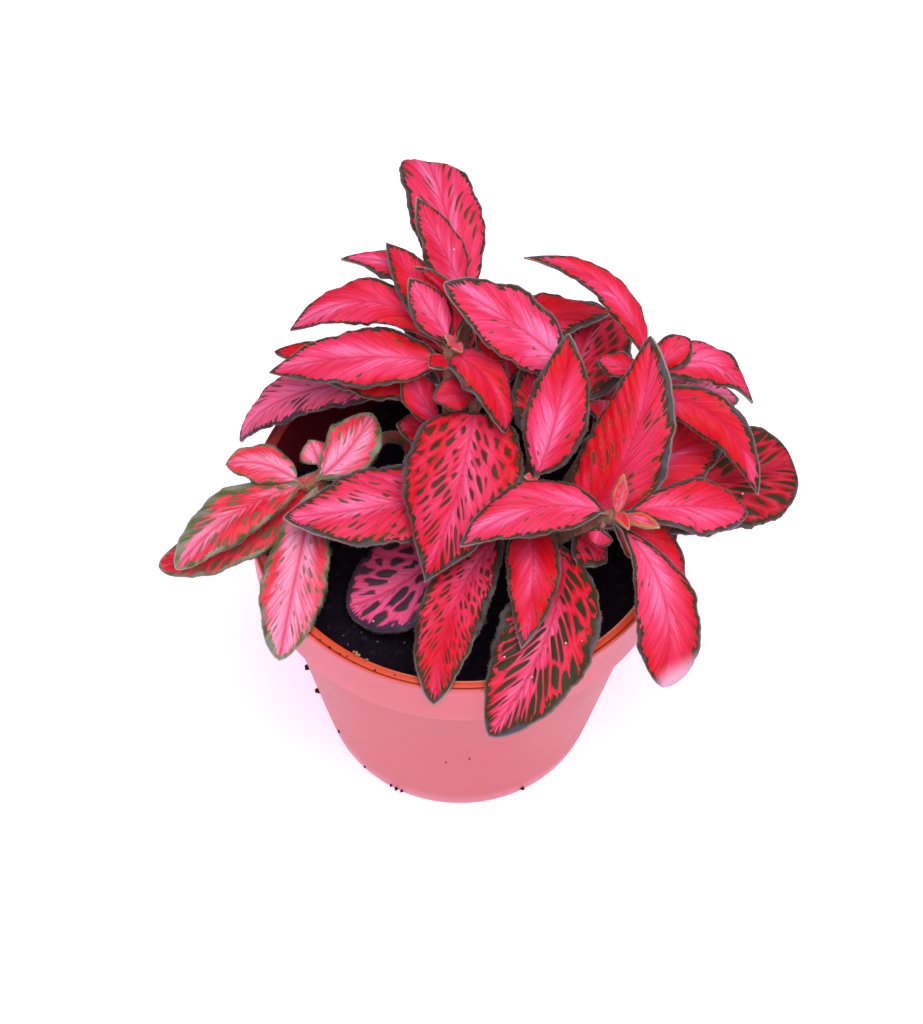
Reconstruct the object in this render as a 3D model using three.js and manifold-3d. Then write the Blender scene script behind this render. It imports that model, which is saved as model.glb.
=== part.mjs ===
// Potted nerve plant: a small tapered plastic pot filled with soil, and eight
// branching leafy stems that stand in holes in the soil.
// Millimetres. The pot's axis is Z, its foot stands on z = 0, and the side the
// longest drooping leaves hang over is -Y.

import * as THREE from 'three'
import { mergeVertices } from 'three/addons/utils/BufferGeometryUtils.js'
import Module from 'manifold-3d'

const wasm = await Module()
wasm.setup()

// Driving sizes
const gap = 0.3
const potHeight = 78
const rimRadius = 45.5
const footRadius = 32
const collarHeight = 13
const collarStep = 3.3
const wall = 1.5
const lipWidth = 2.6
const floorTop = 3.6
const recessDepth = 2
const discRadius = 12
const footRingWidth = 5
const drainRadius = 2.5
const drainCircle = 19
const drainCount = 6
const soilTop = 65
const soilLump = 0.8
const stemStart = 66.5
const stemDepth = 20
const stemRadius = 1.5
const stemTipRadius = 1.15
const bladeThickness = 0.8
const stalkThickness = 1.3
const stalkLength = 2.5
const leastHalfWidth = 0.6
const foldUp = 0.3
const cupDown = 0.3
const scallopShare = 0.03
const largeLeafFrom = 8.5
const largeWave = { waves: 2.5, height: 0.75, stations: 9, strips: 4 }
const smallWave = { waves: 1.5, height: 0.3, stations: 6, strips: 2 }
const waveStep = 0.37
const waveSkew = 0.35
const archedLength = 1.06
const curlFrom = 0.72
const skewFrom = 0.5

const plastic = new THREE.MeshStandardMaterial({ color: 0xd4705f, roughness: 0.45, metalness: 0 })
const earth = new THREE.MeshStandardMaterial({ color: 0x2b1c1f, roughness: 1, metalness: 0 })
const foliage = new THREE.MeshStandardMaterial({ color: 0xd62a4a, roughness: 0.6, metalness: 0 })

// Joining and cutting

function toSolid(geometry) {
  const bare = new THREE.BufferGeometry()
  bare.setAttribute('position', geometry.getAttribute('position').clone())
  if (geometry.index) bare.setIndex(geometry.index.clone())
  const merged = mergeVertices(bare, 1e-4)
  const from = merged.index.array
  const kept = []
  for (let i = 0; i < from.length; i += 3) {
    const [a, b, c] = [from[i], from[i + 1], from[i + 2]]
    if (a !== b && b !== c && a !== c) kept.push(a, b, c)
  }
  const mesh = new wasm.Mesh({
    numProp: 3,
    vertProperties: new Float32Array(merged.getAttribute('position').array),
    triVerts: new Uint32Array(kept),
  })
  return new wasm.Manifold(mesh)
}

function toMesh(name, solid, material) {
  const data = solid.getMesh()
  const geometry = new THREE.BufferGeometry()
  geometry.setAttribute('position', new THREE.BufferAttribute(new Float32Array(data.vertProperties), 3))
  geometry.setIndex(new THREE.BufferAttribute(new Uint32Array(data.triVerts), 1))
  const flat = geometry.toNonIndexed()
  flat.computeVertexNormals()
  const mesh = new THREE.Mesh(flat, material)
  mesh.name = name
  return mesh
}

function lathe(profile, segments) {
  const points = profile.map(([r, z]) => new THREE.Vector2(r, z))
  const geometry = new THREE.LatheGeometry(points, segments)
  geometry.rotateX(Math.PI / 2)
  return toSolid(geometry)
}

function post(x, y, z0, z1, radius, segments = 24) {
  const geometry = new THREE.CylinderGeometry(radius, radius, z1 - z0, segments)
  geometry.rotateX(Math.PI / 2)
  geometry.translate(x, y, (z0 + z1) / 2)
  return toSolid(geometry)
}

// Pot

const collarBase = potHeight - collarHeight
const wallRadiusAt = (z) => footRadius + (rimRadius - collarStep - footRadius) * (z / collarBase)
const innerRadiusAt = (z) => (z < collarBase
  ? wallRadiusAt(z) - wall
  : wallRadiusAt(collarBase) - wall + (rimRadius - lipWidth - wallRadiusAt(collarBase) + wall)
    * ((z - collarBase) / collarHeight))

function potBody() {
  const recessEdge = footRadius - footRingWidth
  const profile = [
    [0, 0],
    [discRadius, 0],
    [discRadius + 0.8, recessDepth],
    [recessEdge - 0.8, recessDepth],
    [recessEdge, 0],
    [footRadius - 0.6, 0],
    [footRadius, 0.7],
    [wallRadiusAt(collarBase - 0.5), collarBase - 0.5],
    [rimRadius - 0.7, collarBase],
    [rimRadius - 0.4, collarBase + 0.4],
    [rimRadius - 0.1, potHeight - 1.2],
    [rimRadius, potHeight - 0.8],
    [rimRadius - 0.3, potHeight - 0.2],
    [rimRadius - 0.9, potHeight],
    [rimRadius - lipWidth + 0.4, potHeight],
    [rimRadius - lipWidth, potHeight - 0.5],
    [innerRadiusAt(collarBase), collarBase],
    [innerRadiusAt(floorTop + 1.5), floorTop + 1.5],
    [innerRadiusAt(floorTop) - 1.5, floorTop],
    [0, floorTop],
  ]
  let body = lathe(profile, 80)
  for (let i = 0; i < drainCount; i += 1) {
    const angle = (i + 0.5) * 2 * Math.PI / drainCount
    const x = drainCircle * Math.cos(angle)
    const y = drainCircle * Math.sin(angle)
    body = body.subtract(post(x, y, -1, floorTop + 1, drainRadius))
  }
  return body
}

// Soil: fills the pot to just under the collar, with a low, lumpy top

function lump(x, y) {
  const broad = 0.5 * Math.sin(0.19 * x + 0.8) * Math.cos(0.16 * y - 0.4)
  const fine = 0.3 * Math.sin(0.61 * x - 0.33 * y) + 0.2 * Math.cos(0.52 * x + 0.74 * y)
  return soilLump * (broad + fine)
}

function soilBody(feet) {
  const floor = floorTop + gap
  const topRadius = innerRadiusAt(soilTop - 1.2) - gap
  const profile = [
    [0, floor],
    [innerRadiusAt(floorTop) - 2.4, floor],
    [innerRadiusAt(floorTop + 2.6) - gap, floorTop + 2.6],
    [topRadius, soilTop - 1.2],
  ]
  const rings = 9
  for (let i = 0; i <= rings; i += 1) {
    profile.push([(topRadius - 0.5) * (1 - i / rings), soilTop])
  }
  const points = profile.map(([r, z]) => new THREE.Vector2(Math.max(r, 0), z))
  const geometry = new THREE.LatheGeometry(points, 56)
  geometry.rotateX(Math.PI / 2)
  const position = geometry.getAttribute('position')
  for (let i = 0; i < position.count; i += 1) {
    const z = position.getZ(i)
    if (z > soilTop - 0.1) {
      position.setZ(i, z + lump(position.getX(i), position.getY(i)))
    }
  }
  let body = toSolid(geometry)
  for (const [x, y] of feet) {
    const bottom = stemStart - stemDepth - 0.5
    body = body.subtract(post(x, y, bottom, soilTop + 4, stemRadius + gap, 20))
  }
  return body
}

// Stems: six-sided, straight where they stand in the soil, then one smooth bend to the top

const vector = (list) => new THREE.Vector3(...list)

function bend(foot, knee, top, u) {
  const a = foot.clone().multiplyScalar((1 - u) * (1 - u))
  const b = knee.clone().multiplyScalar(2 * u * (1 - u))
  const c = top.clone().multiplyScalar(u * u)
  return a.add(b).add(c)
}

function slope(foot, knee, top, u) {
  const a = knee.clone().sub(foot).multiplyScalar(2 * (1 - u))
  const b = top.clone().sub(knee).multiplyScalar(2 * u)
  return a.add(b).normalize()
}

function loft(rows, closedRing) {
  // rows: lists of points of equal length, joined row to row
  const across = rows[0].length
  const points = rows.flat()
  const triangles = []
  const last = closedRing ? across : across - 1
  for (let i = 0; i < rows.length - 1; i += 1) {
    for (let j = 0; j < last; j += 1) {
      const a = i * across + j
      const b = i * across + ((j + 1) % across)
      const c = b + across
      const d = a + across
      triangles.push(a, b, c, a, c, d)
    }
  }
  return { points, triangles }
}

function closedBody(points, triangles) {
  let volume = 0
  for (let i = 0; i < triangles.length; i += 3) {
    const [a, b, c] = [points[triangles[i]], points[triangles[i + 1]], points[triangles[i + 2]]]
    volume += a.dot(b.clone().cross(c))
  }
  const order = volume > 0 ? triangles : [...triangles].reverse()
  const flat = new Float32Array(points.length * 3)
  points.forEach((p, i) => flat.set([p.x, p.y, p.z], i * 3))
  const geometry = new THREE.BufferGeometry()
  geometry.setAttribute('position', new THREE.BufferAttribute(flat, 3))
  geometry.setIndex(order)
  return toSolid(geometry)
}

function stemBody(shoot) {
  const foot = vector([shoot.foot[0], shoot.foot[1], stemStart])
  const knee = vector(shoot.knee)
  const top = vector(shoot.top)
  const steps = 12
  const sides = 6
  const centres = [foot.clone().setZ(stemStart - stemDepth)]
  const ways = [new THREE.Vector3(0, 0, 1)]
  for (let i = 0; i <= steps; i += 1) {
    centres.push(bend(foot, knee, top, i / steps))
    ways.push(i === 0 ? new THREE.Vector3(0, 0, 1) : slope(foot, knee, top, i / steps))
  }
  const rows = centres.map((centre, i) => {
    const way = ways[i]
    const side = new THREE.Vector3(0, 1, 0.3).cross(way).normalize()
    const front = way.clone().cross(side)
    const u = Math.max(0, i - 1) / steps
    const radius = stemRadius + (stemTipRadius - stemRadius) * u
    const ring = []
    for (let j = 0; j < sides; j += 1) {
      const angle = j * 2 * Math.PI / sides
      ring.push(centre.clone()
        .addScaledVector(side, radius * Math.cos(angle))
        .addScaledVector(front, radius * Math.sin(angle)))
    }
    return ring
  })
  const { points, triangles } = loft(rows, true)
  const low = points.length
  points.push(centres[0].clone())
  points.push(centres[centres.length - 1].clone())
  const end = (rows.length - 1) * sides
  for (let j = 0; j < sides; j += 1) {
    const next = (j + 1) % sides
    triangles.push(low, next, j)
    triangles.push(low + 1, end + j, end + next)
  }
  return closedBody(points, triangles)
}

// Leaves: a short stalk, then an oval blade that is folded up a little along its
// midrib, cupped at the sides and waved and scalloped along its edges

const eased = (x) => {
  const share = Math.min(Math.max(x, 0), 1)
  return share * share * (3 - 2 * share)
}

function leafBody(shoot, leaf, index) {
  const [along, tipAt, width, arch, sway, roll, shape = {}] = leaf
  const { fullest = 0.42, taper = 0.8, stalk = stalkLength, curl = 0, skew = 0 } = shape
  const { point = taper } = shape
  const foot = vector([shoot.foot[0], shoot.foot[1], stemStart])
  const base = bend(foot, vector(shoot.knee), vector(shoot.top), along)
  const tip = vector(tipAt)
  const chord = tip.clone().sub(base)
  const heading = new THREE.Vector3(chord.x, chord.y, 0).normalize()
  const left = new THREE.Vector3(0, 0, 1).cross(heading)
  const lift = chord.clone().normalize().cross(left).normalize()
  const middle = base.clone()
    .addScaledVector(chord, 0.5)
    .addScaledVector(lift, 2 * arch)
    .addScaledVector(left, 2 * sway)

  const large = width > largeLeafFrom
  const { waves, height, stations, strips } = large ? largeWave : smallWave
  const length = chord.length() * archedLength
  const stalkShare = Math.min(stalk / length, 0.45)
  const power = Math.log(0.5) / Math.log(fullest)
  const shift = waveStep * index

  const upper = []
  const lower = []
  for (let i = -1; i <= stations; i += 1) {
    const v = Math.max(i, 0) / stations
    const u = i < 0 ? 0 : stalkShare + (1 - stalkShare) * v
    const curled = curl * Math.max(0, (v - curlFrom) / (1 - curlFrom)) ** 2
    const ahead = skew * eased((v - skewFrom) / (1 - skewFrom))
    const centre = bend(base, middle, tip, u)
    const way = slope(base, middle, tip, u)
    const flat = left.clone().addScaledVector(way, -way.dot(left)).normalize()
    const up = way.clone().cross(flat)
    const turn = roll * Math.PI / 180
    const side = flat.clone().multiplyScalar(Math.cos(turn)).addScaledVector(up, Math.sin(turn))
    const normal = up.clone().multiplyScalar(Math.cos(turn)).addScaledVector(flat, -Math.sin(turn))
    const outline = Math.sin(Math.PI * v ** power) ** (taper + (point - taper) * v)
    const scallop = large && i > 0 && i < stations ? scallopShare * (-1) ** i : 0
    const half = Math.max(0.5 * width * outline * (1 + scallop), leastHalfWidth)
    const fullness = i < 0 ? 0 : Math.min(half / (0.5 * width), 1)
    const thickness = i < 1 ? stalkThickness : bladeThickness
    const top = []
    const under = []
    for (let j = 0; j <= strips; j += 1) {
      const t = -1 + 2 * j / strips
      const fold = half * (foldUp * Math.abs(t) - cupDown * t * t)
      const phase = 2 * Math.PI * (waves * v + shift + (t > 0 ? waveSkew : 0))
      const wave = height * fullness * Math.abs(t) ** 3 * Math.sin(phase)
      const middlePoint = centre.clone()
        .addScaledVector(side, t * half)
        .addScaledVector(way, ahead * t * half)
        .addScaledVector(normal, fold + wave - curled)
      top.push(middlePoint.clone().addScaledVector(normal, thickness / 2))
      under.push(middlePoint.clone().addScaledVector(normal, -thickness / 2))
    }
    upper.push(top)
    lower.push(under)
  }

  const face = loft(upper, false)
  const points = [...face.points, ...lower.flat()]
  const offset = face.points.length
  const triangles = [...face.triangles]
  for (let i = 0; i < face.triangles.length; i += 3) {
    const [a, b, c] = face.triangles.slice(i, i + 3)
    triangles.push(a + offset, c + offset, b + offset)
  }
  const rim = []
  const rows = upper.length
  const across = strips + 1
  for (let j = 0; j < across; j += 1) rim.push(j)
  for (let i = 1; i < rows; i += 1) rim.push(i * across + across - 1)
  for (let j = across - 2; j >= 0; j -= 1) rim.push((rows - 1) * across + j)
  for (let i = rows - 2; i > 0; i -= 1) rim.push(i * across)
  rim.forEach((a, i) => {
    const b = rim[(i + 1) % rim.length]
    triangles.push(a, a + offset, b + offset, a, b + offset, b)
  })
  return closedBody(points, triangles)
}

// Outline shapes that differ from the usual pointed oval
const round = { fullest: 0.5, taper: 0.62 }
const blunt = { fullest: 0.6, taper: 0.5 }

// Each shoot: its foot on the soil (x, y), the knee it bends towards, its top, and
// its leaves as [place along the stem, tip, width, arch, sway, roll, shape].
// Arch lifts the middle of the leaf, sway moves it to the left of its heading and
// roll lifts its left edge, in degrees. In the shape, fullest is where the blade is
// widest, taper how pointed its outline is (point, if given, at the tip), stalk its
// bare length, curl how far the tip hangs and skew how far the left edge runs ahead.
const shoots = {
  shoot_front_right: {
    foot: [13.5, -7],
    knee: [20.5, -11.5, 86.5],
    top: [30.5, -16, 98.5],
    leaves: [
      [0.98, [-0.5, -23.5, 97], 12, 3, -3.5, -12],
      [0.98, [57, -13, 95.5], 12, 3, 0, 12, { fullest: 0.6, taper: 0.65 }],
      [0.93, [40, -46, 82.5], 13.5, 3, 5, 0, { fullest: 0.66, taper: 0.55, faded: 0.9 }],
      [0.86, [45, -25, 85.5], 10, 3, 1, 10],
      [1, [38.5, -21.5, 102.5], 4, 0.5, 0, 0],
      [0.9, [27, -19, 91.5], 5.5, 1, 0, 0],
      [1, [31.5, -11, 105.5], 3.4, 0.5, 0, 0, { stalk: 0.8 }],
      [1, [32.5, -21.5, 101.5], 3.2, 1, 0, 0, { stalk: 0.8 }],
      [0.62, [36.5, 14.5, 117.5], 18, 1.5, -4.5, 0, { fullest: 0.33, taper: 0.7, steep: 0.85 }],
      [0.68, [54, 10.5, 92.5], 18, 2, 1.5, 10, { fullest: 0.55, taper: 0.62 }],
      [0.5, [68.5, 4.5, 88.5], 25, 3, 0, 5, { fullest: 0.68, taper: 0.36, stalk: 6, skew: 0.05 }],
      [0.42, [6, -54, 75.5], 20, 5, 5, 0, round],
      [0.5, [29.5, -16, 80.5], 11, 2, 0, 0, { stalk: 1.5 }],
    ],
  },
  shoot_left_tall: {
    foot: [-0.5, 9],
    knee: [-5, 8, 98],
    top: [-3, 14, 113],
    leaves: [
      [0.93, [-36.5, 22.5, 106.5], 10, 6, -6, -20, { fullest: 0.54 }],
      [0.88, [-40.5, 14.5, 102.5], 13, 3, -0.5, -15, { fullest: 0.38 }],
      [1, [-12, 22.5, 124], 8.5, 0.5, 0, -10],
      [0.95, [-17, 35, 120], 9, 3.5, 0, -10],
      [0.99, [-11, 26, 123.5], 4.5, 2, -4, -60],
      [0.95, [8, -0.5, 104], 10.5, 4, 1.6, -10, { fullest: 0.3, taper: 0.55, stalk: 0.8 }],
      [0.66, [-29.5, 18, 95.5], 11, 4, 0, -10],
      [0.62, [-51, 15, 79.5], 11, 5, -5, -15, { fullest: 0.55, taper: 0.6, stalk: 6, curl: 4 }],
      [0.84, [-40, 21.5, 100.5], 7.5, 1.5, 0, -10, { taper: 0.55, stalk: 6 }],
      [0.45, [-12, 13, 106.5], 8.5, 1.5, 3, -10, { fullest: 0.6, taper: 0.6, stalk: 5 }],
      [0.44, [-13.5, 12, 97.5], 4, 1, 0, 0],
      [0.9, [-7.5, 9, 112.5], 5.5, 0.8, 0, 0, { stalk: 0.8 }],
      [1, [-1, 11.5, 114.5], 3, 0.8, 0, 0, { stalk: 0.8 }],
      [1, [-4.5, 14.5, 116], 2.8, 0.5, 0, 0, { stalk: 0.8 }],
      [0.35, [-14.5, 10.5, 91], 10, 1, 0, 0],
      [0.7, [-30.5, 31, 86], 13, 4, 0, 0, round],
    ],
  },
  shoot_left_low: {
    foot: [-11.5, 10],
    knee: [-8, 27, 84],
    top: [-33, -2.5, 85.5],
    leaves: [
      [0.98, [-58.5, -20.5, 81.5], 11.5, 3, -2, -12, round],
      [0.86, [-63.5, -14.5, 73], 12.5, 1.5, 4.2, -10, { fullest: 0.54, taper: 0.5 }],
      [0.95, [-36.5, -38.5, 76.5], 13.5, 1.5, 0, 0, { fullest: 0.56, taper: 0.6 }],
      [1, [-49.5, 1, 88.5], 9, 2, -1.6, -10, { fullest: 0.5, taper: 0.6 }],
      [0.98, [-19.5, 11, 94], 11.5, 2, -2.5, 15, { fullest: 0.55, taper: 0.62 }],
      [0.93, [-32.5, 7, 89.5], 7, 1.5, 0, 0],
    ],
  },
  shoot_front: {
    foot: [8.5, -3],
    knee: [13.5, -5.5, 86],
    top: [14, -8.5, 98],
    leaves: [
      [0.98, [20, 13, 119.5], 13, 1.5, -1.6, 0, { steep: 0.8 }],
      [1, [12, -9, 101], 2.5, 0.5, 0, 0, { stalk: 0.8 }],
      [0.55, [12, -40, 86], 11, 2.5, 2, 0],
      [0.35, [-5, -49, 78.5], 13.5, 3, -4, 0, { ...round, stalk: 6 }],
      [0.88, [11, 14, 106.5], 10, 1, -2.5, 0, { fullest: 0.55, stalk: 7 }],
    ],
  },
  shoot_right: {
    foot: [18.5, 3],
    knee: [24, 4.5, 92.5],
    top: [37.5, 11.5, 108.5],
    leaves: [
      [0.97, [11, 28.5, 124], 7.5, 3, -7, 0, { taper: 0.9, stalk: 3.5 }],
      [0.97, [26.5, 16, 107.5], 7, 1, 0, 0],
      [0.99, [45, 17.5, 113], 7.5, 1, 0, 10, round],
      [0.92, [58.5, 9.5, 102.5], 9.5, 6, 4, 10],
      [0.84, [59.5, -8, 95], 9, 7, 4, 30],
      [0.6, [29.5, 16, 93.5], 8, 2, 0, 0],
      [0.48, [47, 34, 82.5], 14, 4, 0, 0, round],
      [0.72, [58, 22, 87.5], 11, 4, 0, 0, round],
    ],
  },
  shoot_middle: {
    foot: [12.5, 9],
    knee: [16, 9.5, 92],
    top: [20.5, 12.5, 110.5],
    leaves: [
      [0.97, [-5, 20.5, 125], 15.5, 2, 0, -10, { fullest: 0.38, taper: 0.66, steep: 0.7 }],
      [0.6, [26.5, 39.5, 97.5], 22, 3, -2, 0, { taper: 0.62, stalk: 5 }],
      [0.42, [31.5, 41.5, 82.5], 13, 4, 0, 0, round],
    ],
  },
  shoot_back: {
    foot: [-0.5, 18],
    knee: [-2, 18, 92],
    top: [-0.5, 27.5, 111],
    leaves: [
      [0.9, [-9, 58.5, 119], 15, 5, -0.5, 0, { fullest: 0.6, taper: 0.5, point: 0.12, skew: 0.6 }],
      [1, [-11, 39.5, 129], 9.5, 1, 0, 0],
      [0.9, [-26.5, 36, 113.5], 9, 5, -1.5, 0],
      [0.9, [7, 11, 102.5], 10, 3, 3.5, 0],
      [0.7, [30.5, 34.5, 100], 13, 5, 0, 0],
      [0.6, [-14.5, 49.5, 84], 15, 6, 0, 0, round],
      [0.58, [14.5, 43.5, 84], 14, 4, 0, 0, round],
      [0.5, [-28.5, 38.5, 80], 13, 4, 0, 0, round],
      [0.42, [1.5, 49, 81], 12, 3, 0, 0, round],
    ],
  },
  shoot_centre: {
    foot: [-0.5, -1],
    knee: [-0.5, -1, 86],
    top: [2, 8.5, 103],
    leaves: [
      [0.98, [-7.5, -24.5, 85], 24, 4, 2, 0, { fullest: 0.34, taper: 0.48, point: 1 }],
      [0.97, [-6.5, 4.5, 108], 7, 2.5, 0, -30, { fullest: 0.5, taper: 0.6 }],
      [0.45, [-36.5, -14, 91.5], 18.5, 3, 3.5, -8, { stalk: 5 }],
      [0.12, [-24, -20.5, 68], 23, 1.5, 4, 0, { fullest: 0.5, taper: 0.5, stalk: 3 }],
    ],
  },
}

function shootBody(shoot) {
  let body = stemBody(shoot)
  shoot.leaves.forEach((leaf, index) => {
    body = body.add(leafBody(shoot, leaf, index))
  })
  return body
}

const plant = new THREE.Group()
plant.name = 'potted_nerve_plant'
plant.add(toMesh('pot', potBody(), plastic))
const feet = Object.values(shoots).map((shoot) => shoot.foot)
plant.add(toMesh('soil', soilBody(feet), earth))
for (const [name, shoot] of Object.entries(shoots)) {
  plant.add(toMesh(name, shootBody(shoot), foliage))
}

export default plant
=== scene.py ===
"""Potted nerve plant: the finished look of a small plastic pot, its soil and its leafy stems."""

import math
from functools import partial

import bmesh
import bpy
import numpy as np
from bpy.props import FloatProperty, FloatVectorProperty, IntProperty, PointerProperty
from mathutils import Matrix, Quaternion, Vector


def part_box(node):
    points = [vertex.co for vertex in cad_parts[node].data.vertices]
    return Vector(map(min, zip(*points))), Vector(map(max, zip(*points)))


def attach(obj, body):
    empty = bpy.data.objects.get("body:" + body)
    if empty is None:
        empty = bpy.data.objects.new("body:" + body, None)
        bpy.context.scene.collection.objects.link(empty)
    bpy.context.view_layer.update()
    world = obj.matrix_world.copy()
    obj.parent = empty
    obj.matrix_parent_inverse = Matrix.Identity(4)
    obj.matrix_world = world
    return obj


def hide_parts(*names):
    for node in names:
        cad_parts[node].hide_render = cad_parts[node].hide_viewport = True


bl_info = {
    "name": "Potted nerve plant",
    "version": (1, 0, 0),
    "blender": (4, 5, 0),
    "location": "3D Viewport > Sidebar > Nerve plant",
    "description": "Builds a nerve plant with red netted leaves in a small nursery pot",
    "category": "Object",
}

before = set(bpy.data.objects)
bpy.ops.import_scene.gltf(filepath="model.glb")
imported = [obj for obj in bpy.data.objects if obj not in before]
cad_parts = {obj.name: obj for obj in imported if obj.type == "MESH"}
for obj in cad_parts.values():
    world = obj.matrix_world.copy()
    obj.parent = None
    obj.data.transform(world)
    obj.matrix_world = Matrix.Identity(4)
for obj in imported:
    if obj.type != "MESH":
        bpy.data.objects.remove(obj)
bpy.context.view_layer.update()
pot_low, pot_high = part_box("pot")
soil_low, soil_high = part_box("soil")

MM = 0.001

# Where the photograph was taken from: the camera stands in front of the pot, looks
# down on it along +Y and keeps the whole plant well inside an upright picture.
CAMERA_ELEVATION = 56.0
CAMERA_DISTANCE = 450 * MM
CAMERA_TARGET = Vector((-0.4 * MM, 0.0, 74.5 * MM))
CAMERA_LENS = 74.4
CAMERA_ROLL = 1.3
SENSOR_WIDTH = 36.0
FLOOR_HALF_SIDE = 3.0

# Lamps as (name, side in metres, place, colour); the stage's settings of the same names
# give their power.
LAMPS = (
    ("key", 0.7, (0.06, -0.22, 0.92), "#FFFFFF"),
    ("fill", 0.6, (0.6, -0.2, 0.6), "#FFF4FA"),
)

# The pot: how finely it is turned, its floor, its lip, the flat centre and the ring under
# its foot, and the circle, the radius and the number of its drain holes.
POT_SEGMENTS = 224
FLOOR_THICKNESS = 3.6 * MM
LIP_WIDTH = 2.6 * MM
FOOT_CENTRE = 12 * MM
FOOT_RING = 5 * MM
HOLE_CIRCLE = 19 * MM
HOLE_RADIUS = 2.5 * MM
HOLES = 6

# The soil's level, how finely it is turned and how rough its top is.
SOIL_TOP = 65 * MM
SOIL_SEGMENTS = 200
SOIL_RINGS = 70
SOIL_RELIEF = 0.75 * MM

# In mm: stems stand in the soil up to here and bend from here on, how deep they reach,
# their radius at the foot and the top, how much a leaf's joint swells them, and the
# largest radius that they get.
STEM_START = 66.5
STEM_DEPTH = 20.0
STEM_FOOT = 1.5
STEM_TIP = 1.1
JOINT_SWELL = 0.22
STEM_LARGEST = 1.85

# In mm: the radius of a leaf's stalk, the narrowest half width at its tip, and the height
# of the swellings between its veins, the groove along its midrib and the rib underneath.
STALK_RADIUS = 0.55
TIP_HALF_WIDTH = 0.1
QUILT_HEIGHT = 0.3
GROOVE_DEPTH = 0.28
RIB_HEIGHT = 0.35
HAIR_THICKNESS = 0.022 * MM


# Colours


def linear(text):
    """An sRGB hex colour as linear red, green, blue and alpha."""
    channels = [int(text[i : i + 2], 16) / 255 for i in (1, 3, 5)]
    return (*[c / 12.92 if c <= 0.04045 else ((c + 0.055) / 1.055) ** 2.4 for c in channels], 1.0)


# Settings


def colour(name, description, text):
    """A colour that the user can change, with an sRGB hex default."""
    return FloatVectorProperty(
        name=name,
        description=description,
        subtype="COLOR",
        size=4,
        min=0,
        max=1,
        default=linear(text),
    )


def length(name, description, metres):
    """A length that the user can change."""
    return FloatProperty(name=name, description=description, default=metres, unit="LENGTH")


class PotSettings(bpy.types.PropertyGroup):
    """Sizes and colours of the pot."""

    height: length("Height", "From the foot to the top of the rim", pot_high.z - pot_low.z)
    rim_radius: length("Rim radius", "Outer radius of the rim", pot_high.x)
    foot_radius: length("Foot radius", "Outer radius of the foot", 32 * MM)
    collar_height: length("Collar height", "Height of the stepped band under the rim", 13 * MM)
    collar_step: length("Collar step", "How far the collar stands out from the wall", 3.3 * MM)
    wall: length("Wall", "Thickness of the wall", 1.5 * MM)
    plastic: colour("Plastic", "Colour of the outside", "#D45A5F")
    # painted light: the collar's paler colour stands for the light that falls on it
    collar: colour("Collar", "Colour of the thicker, paler collar", "#E6707A")
    # painted glow: the lip's orange stands for light shining through the thin plastic
    lip: colour("Lip", "Colour of the thin bright edge of the rim", "#DA4C2A")
    # painted shade: the inside colour stands for the shade inside the pot
    inside: colour("Inside", "Colour of the shaded inner wall", "#6E1B22")


class SoilSettings(bpy.types.PropertyGroup):
    """Sizes and colours of the soil."""

    crumb: length("Crumb size", "Radius of an average crumb", 0.55 * MM)
    crumbs: FloatProperty(
        name="Crumbs", description="Crumbs in each square metre of the top", default=420000
    )
    seed: IntProperty(name="Seed", description="Changes where the crumbs lie", default=3)
    peat: colour("Peat", "Colour of the damp peat", "#0E0414")
    dry: colour("Dry crumbs", "Colour of the driest crumbs", "#35233A")


class LeafSettings(bpy.types.PropertyGroup):
    """Sizes and colours of the stems and leaves."""

    step: length("Step", "Distance between points along and across a blade", 0.42 * MM)
    blade: length("Blade", "Thickness of a blade", 0.5 * MM)
    vein_spacing: length("Vein spacing", "Distance between side veins along the midrib", 3.6 * MM)
    hair: length("Hair length", "Length of an average hair on the edges and stems", 0.36 * MM)
    hair_spacing: length("Hair spacing", "Distance between hairs along a leaf's edge", 0.26 * MM)
    seed: IntProperty(name="Seed", description="Changes the ripples and the hairs", default=11)
    red: colour("Red", "Colour of a blade near its edges", "#D8061A")
    pink: colour("Pink", "Colour along the middle of a blade", "#F24478")
    pale: colour("Pale", "Colour of the heart of a fresh leaf", "#FFBADC")
    olive: colour("Olive", "Colour of the cells in the net", "#38351E")
    margin: colour("Margin", "Colour of the band along the edge", "#524D55")
    fresh: colour("Fresh margin", "Colour of a young leaf's band", "#5A6432")
    under: colour("Underside", "Colour of a blade's underside", "#9A5F5A")
    stem: colour("Stem", "Colour of the stems", "#A4685A")


class StageSettings(bpy.types.PropertyGroup):
    """The floor and the light."""

    key: FloatProperty(name="Key", description="Power of the big soft lamp", default=7.8)
    fill: FloatProperty(name="Fill", description="Power of the lamp on the right", default=0.35)
    sky: FloatProperty(name="Sky", description="Brightness of the even light", default=0.26)
    glow: FloatProperty(name="Glow", description="How far the paper is lit from behind", default=0.75)
    floor: colour("Floor", "Colour of the floor", "#F4F0F4")


class PlantSettings(bpy.types.PropertyGroup):
    """All settings of the potted plant."""

    pot: PointerProperty(type=PotSettings)
    soil: PointerProperty(type=SoilSettings)
    leaf: PointerProperty(type=LeafSettings)
    stage: PointerProperty(type=StageSettings)


# Leaf tables

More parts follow.
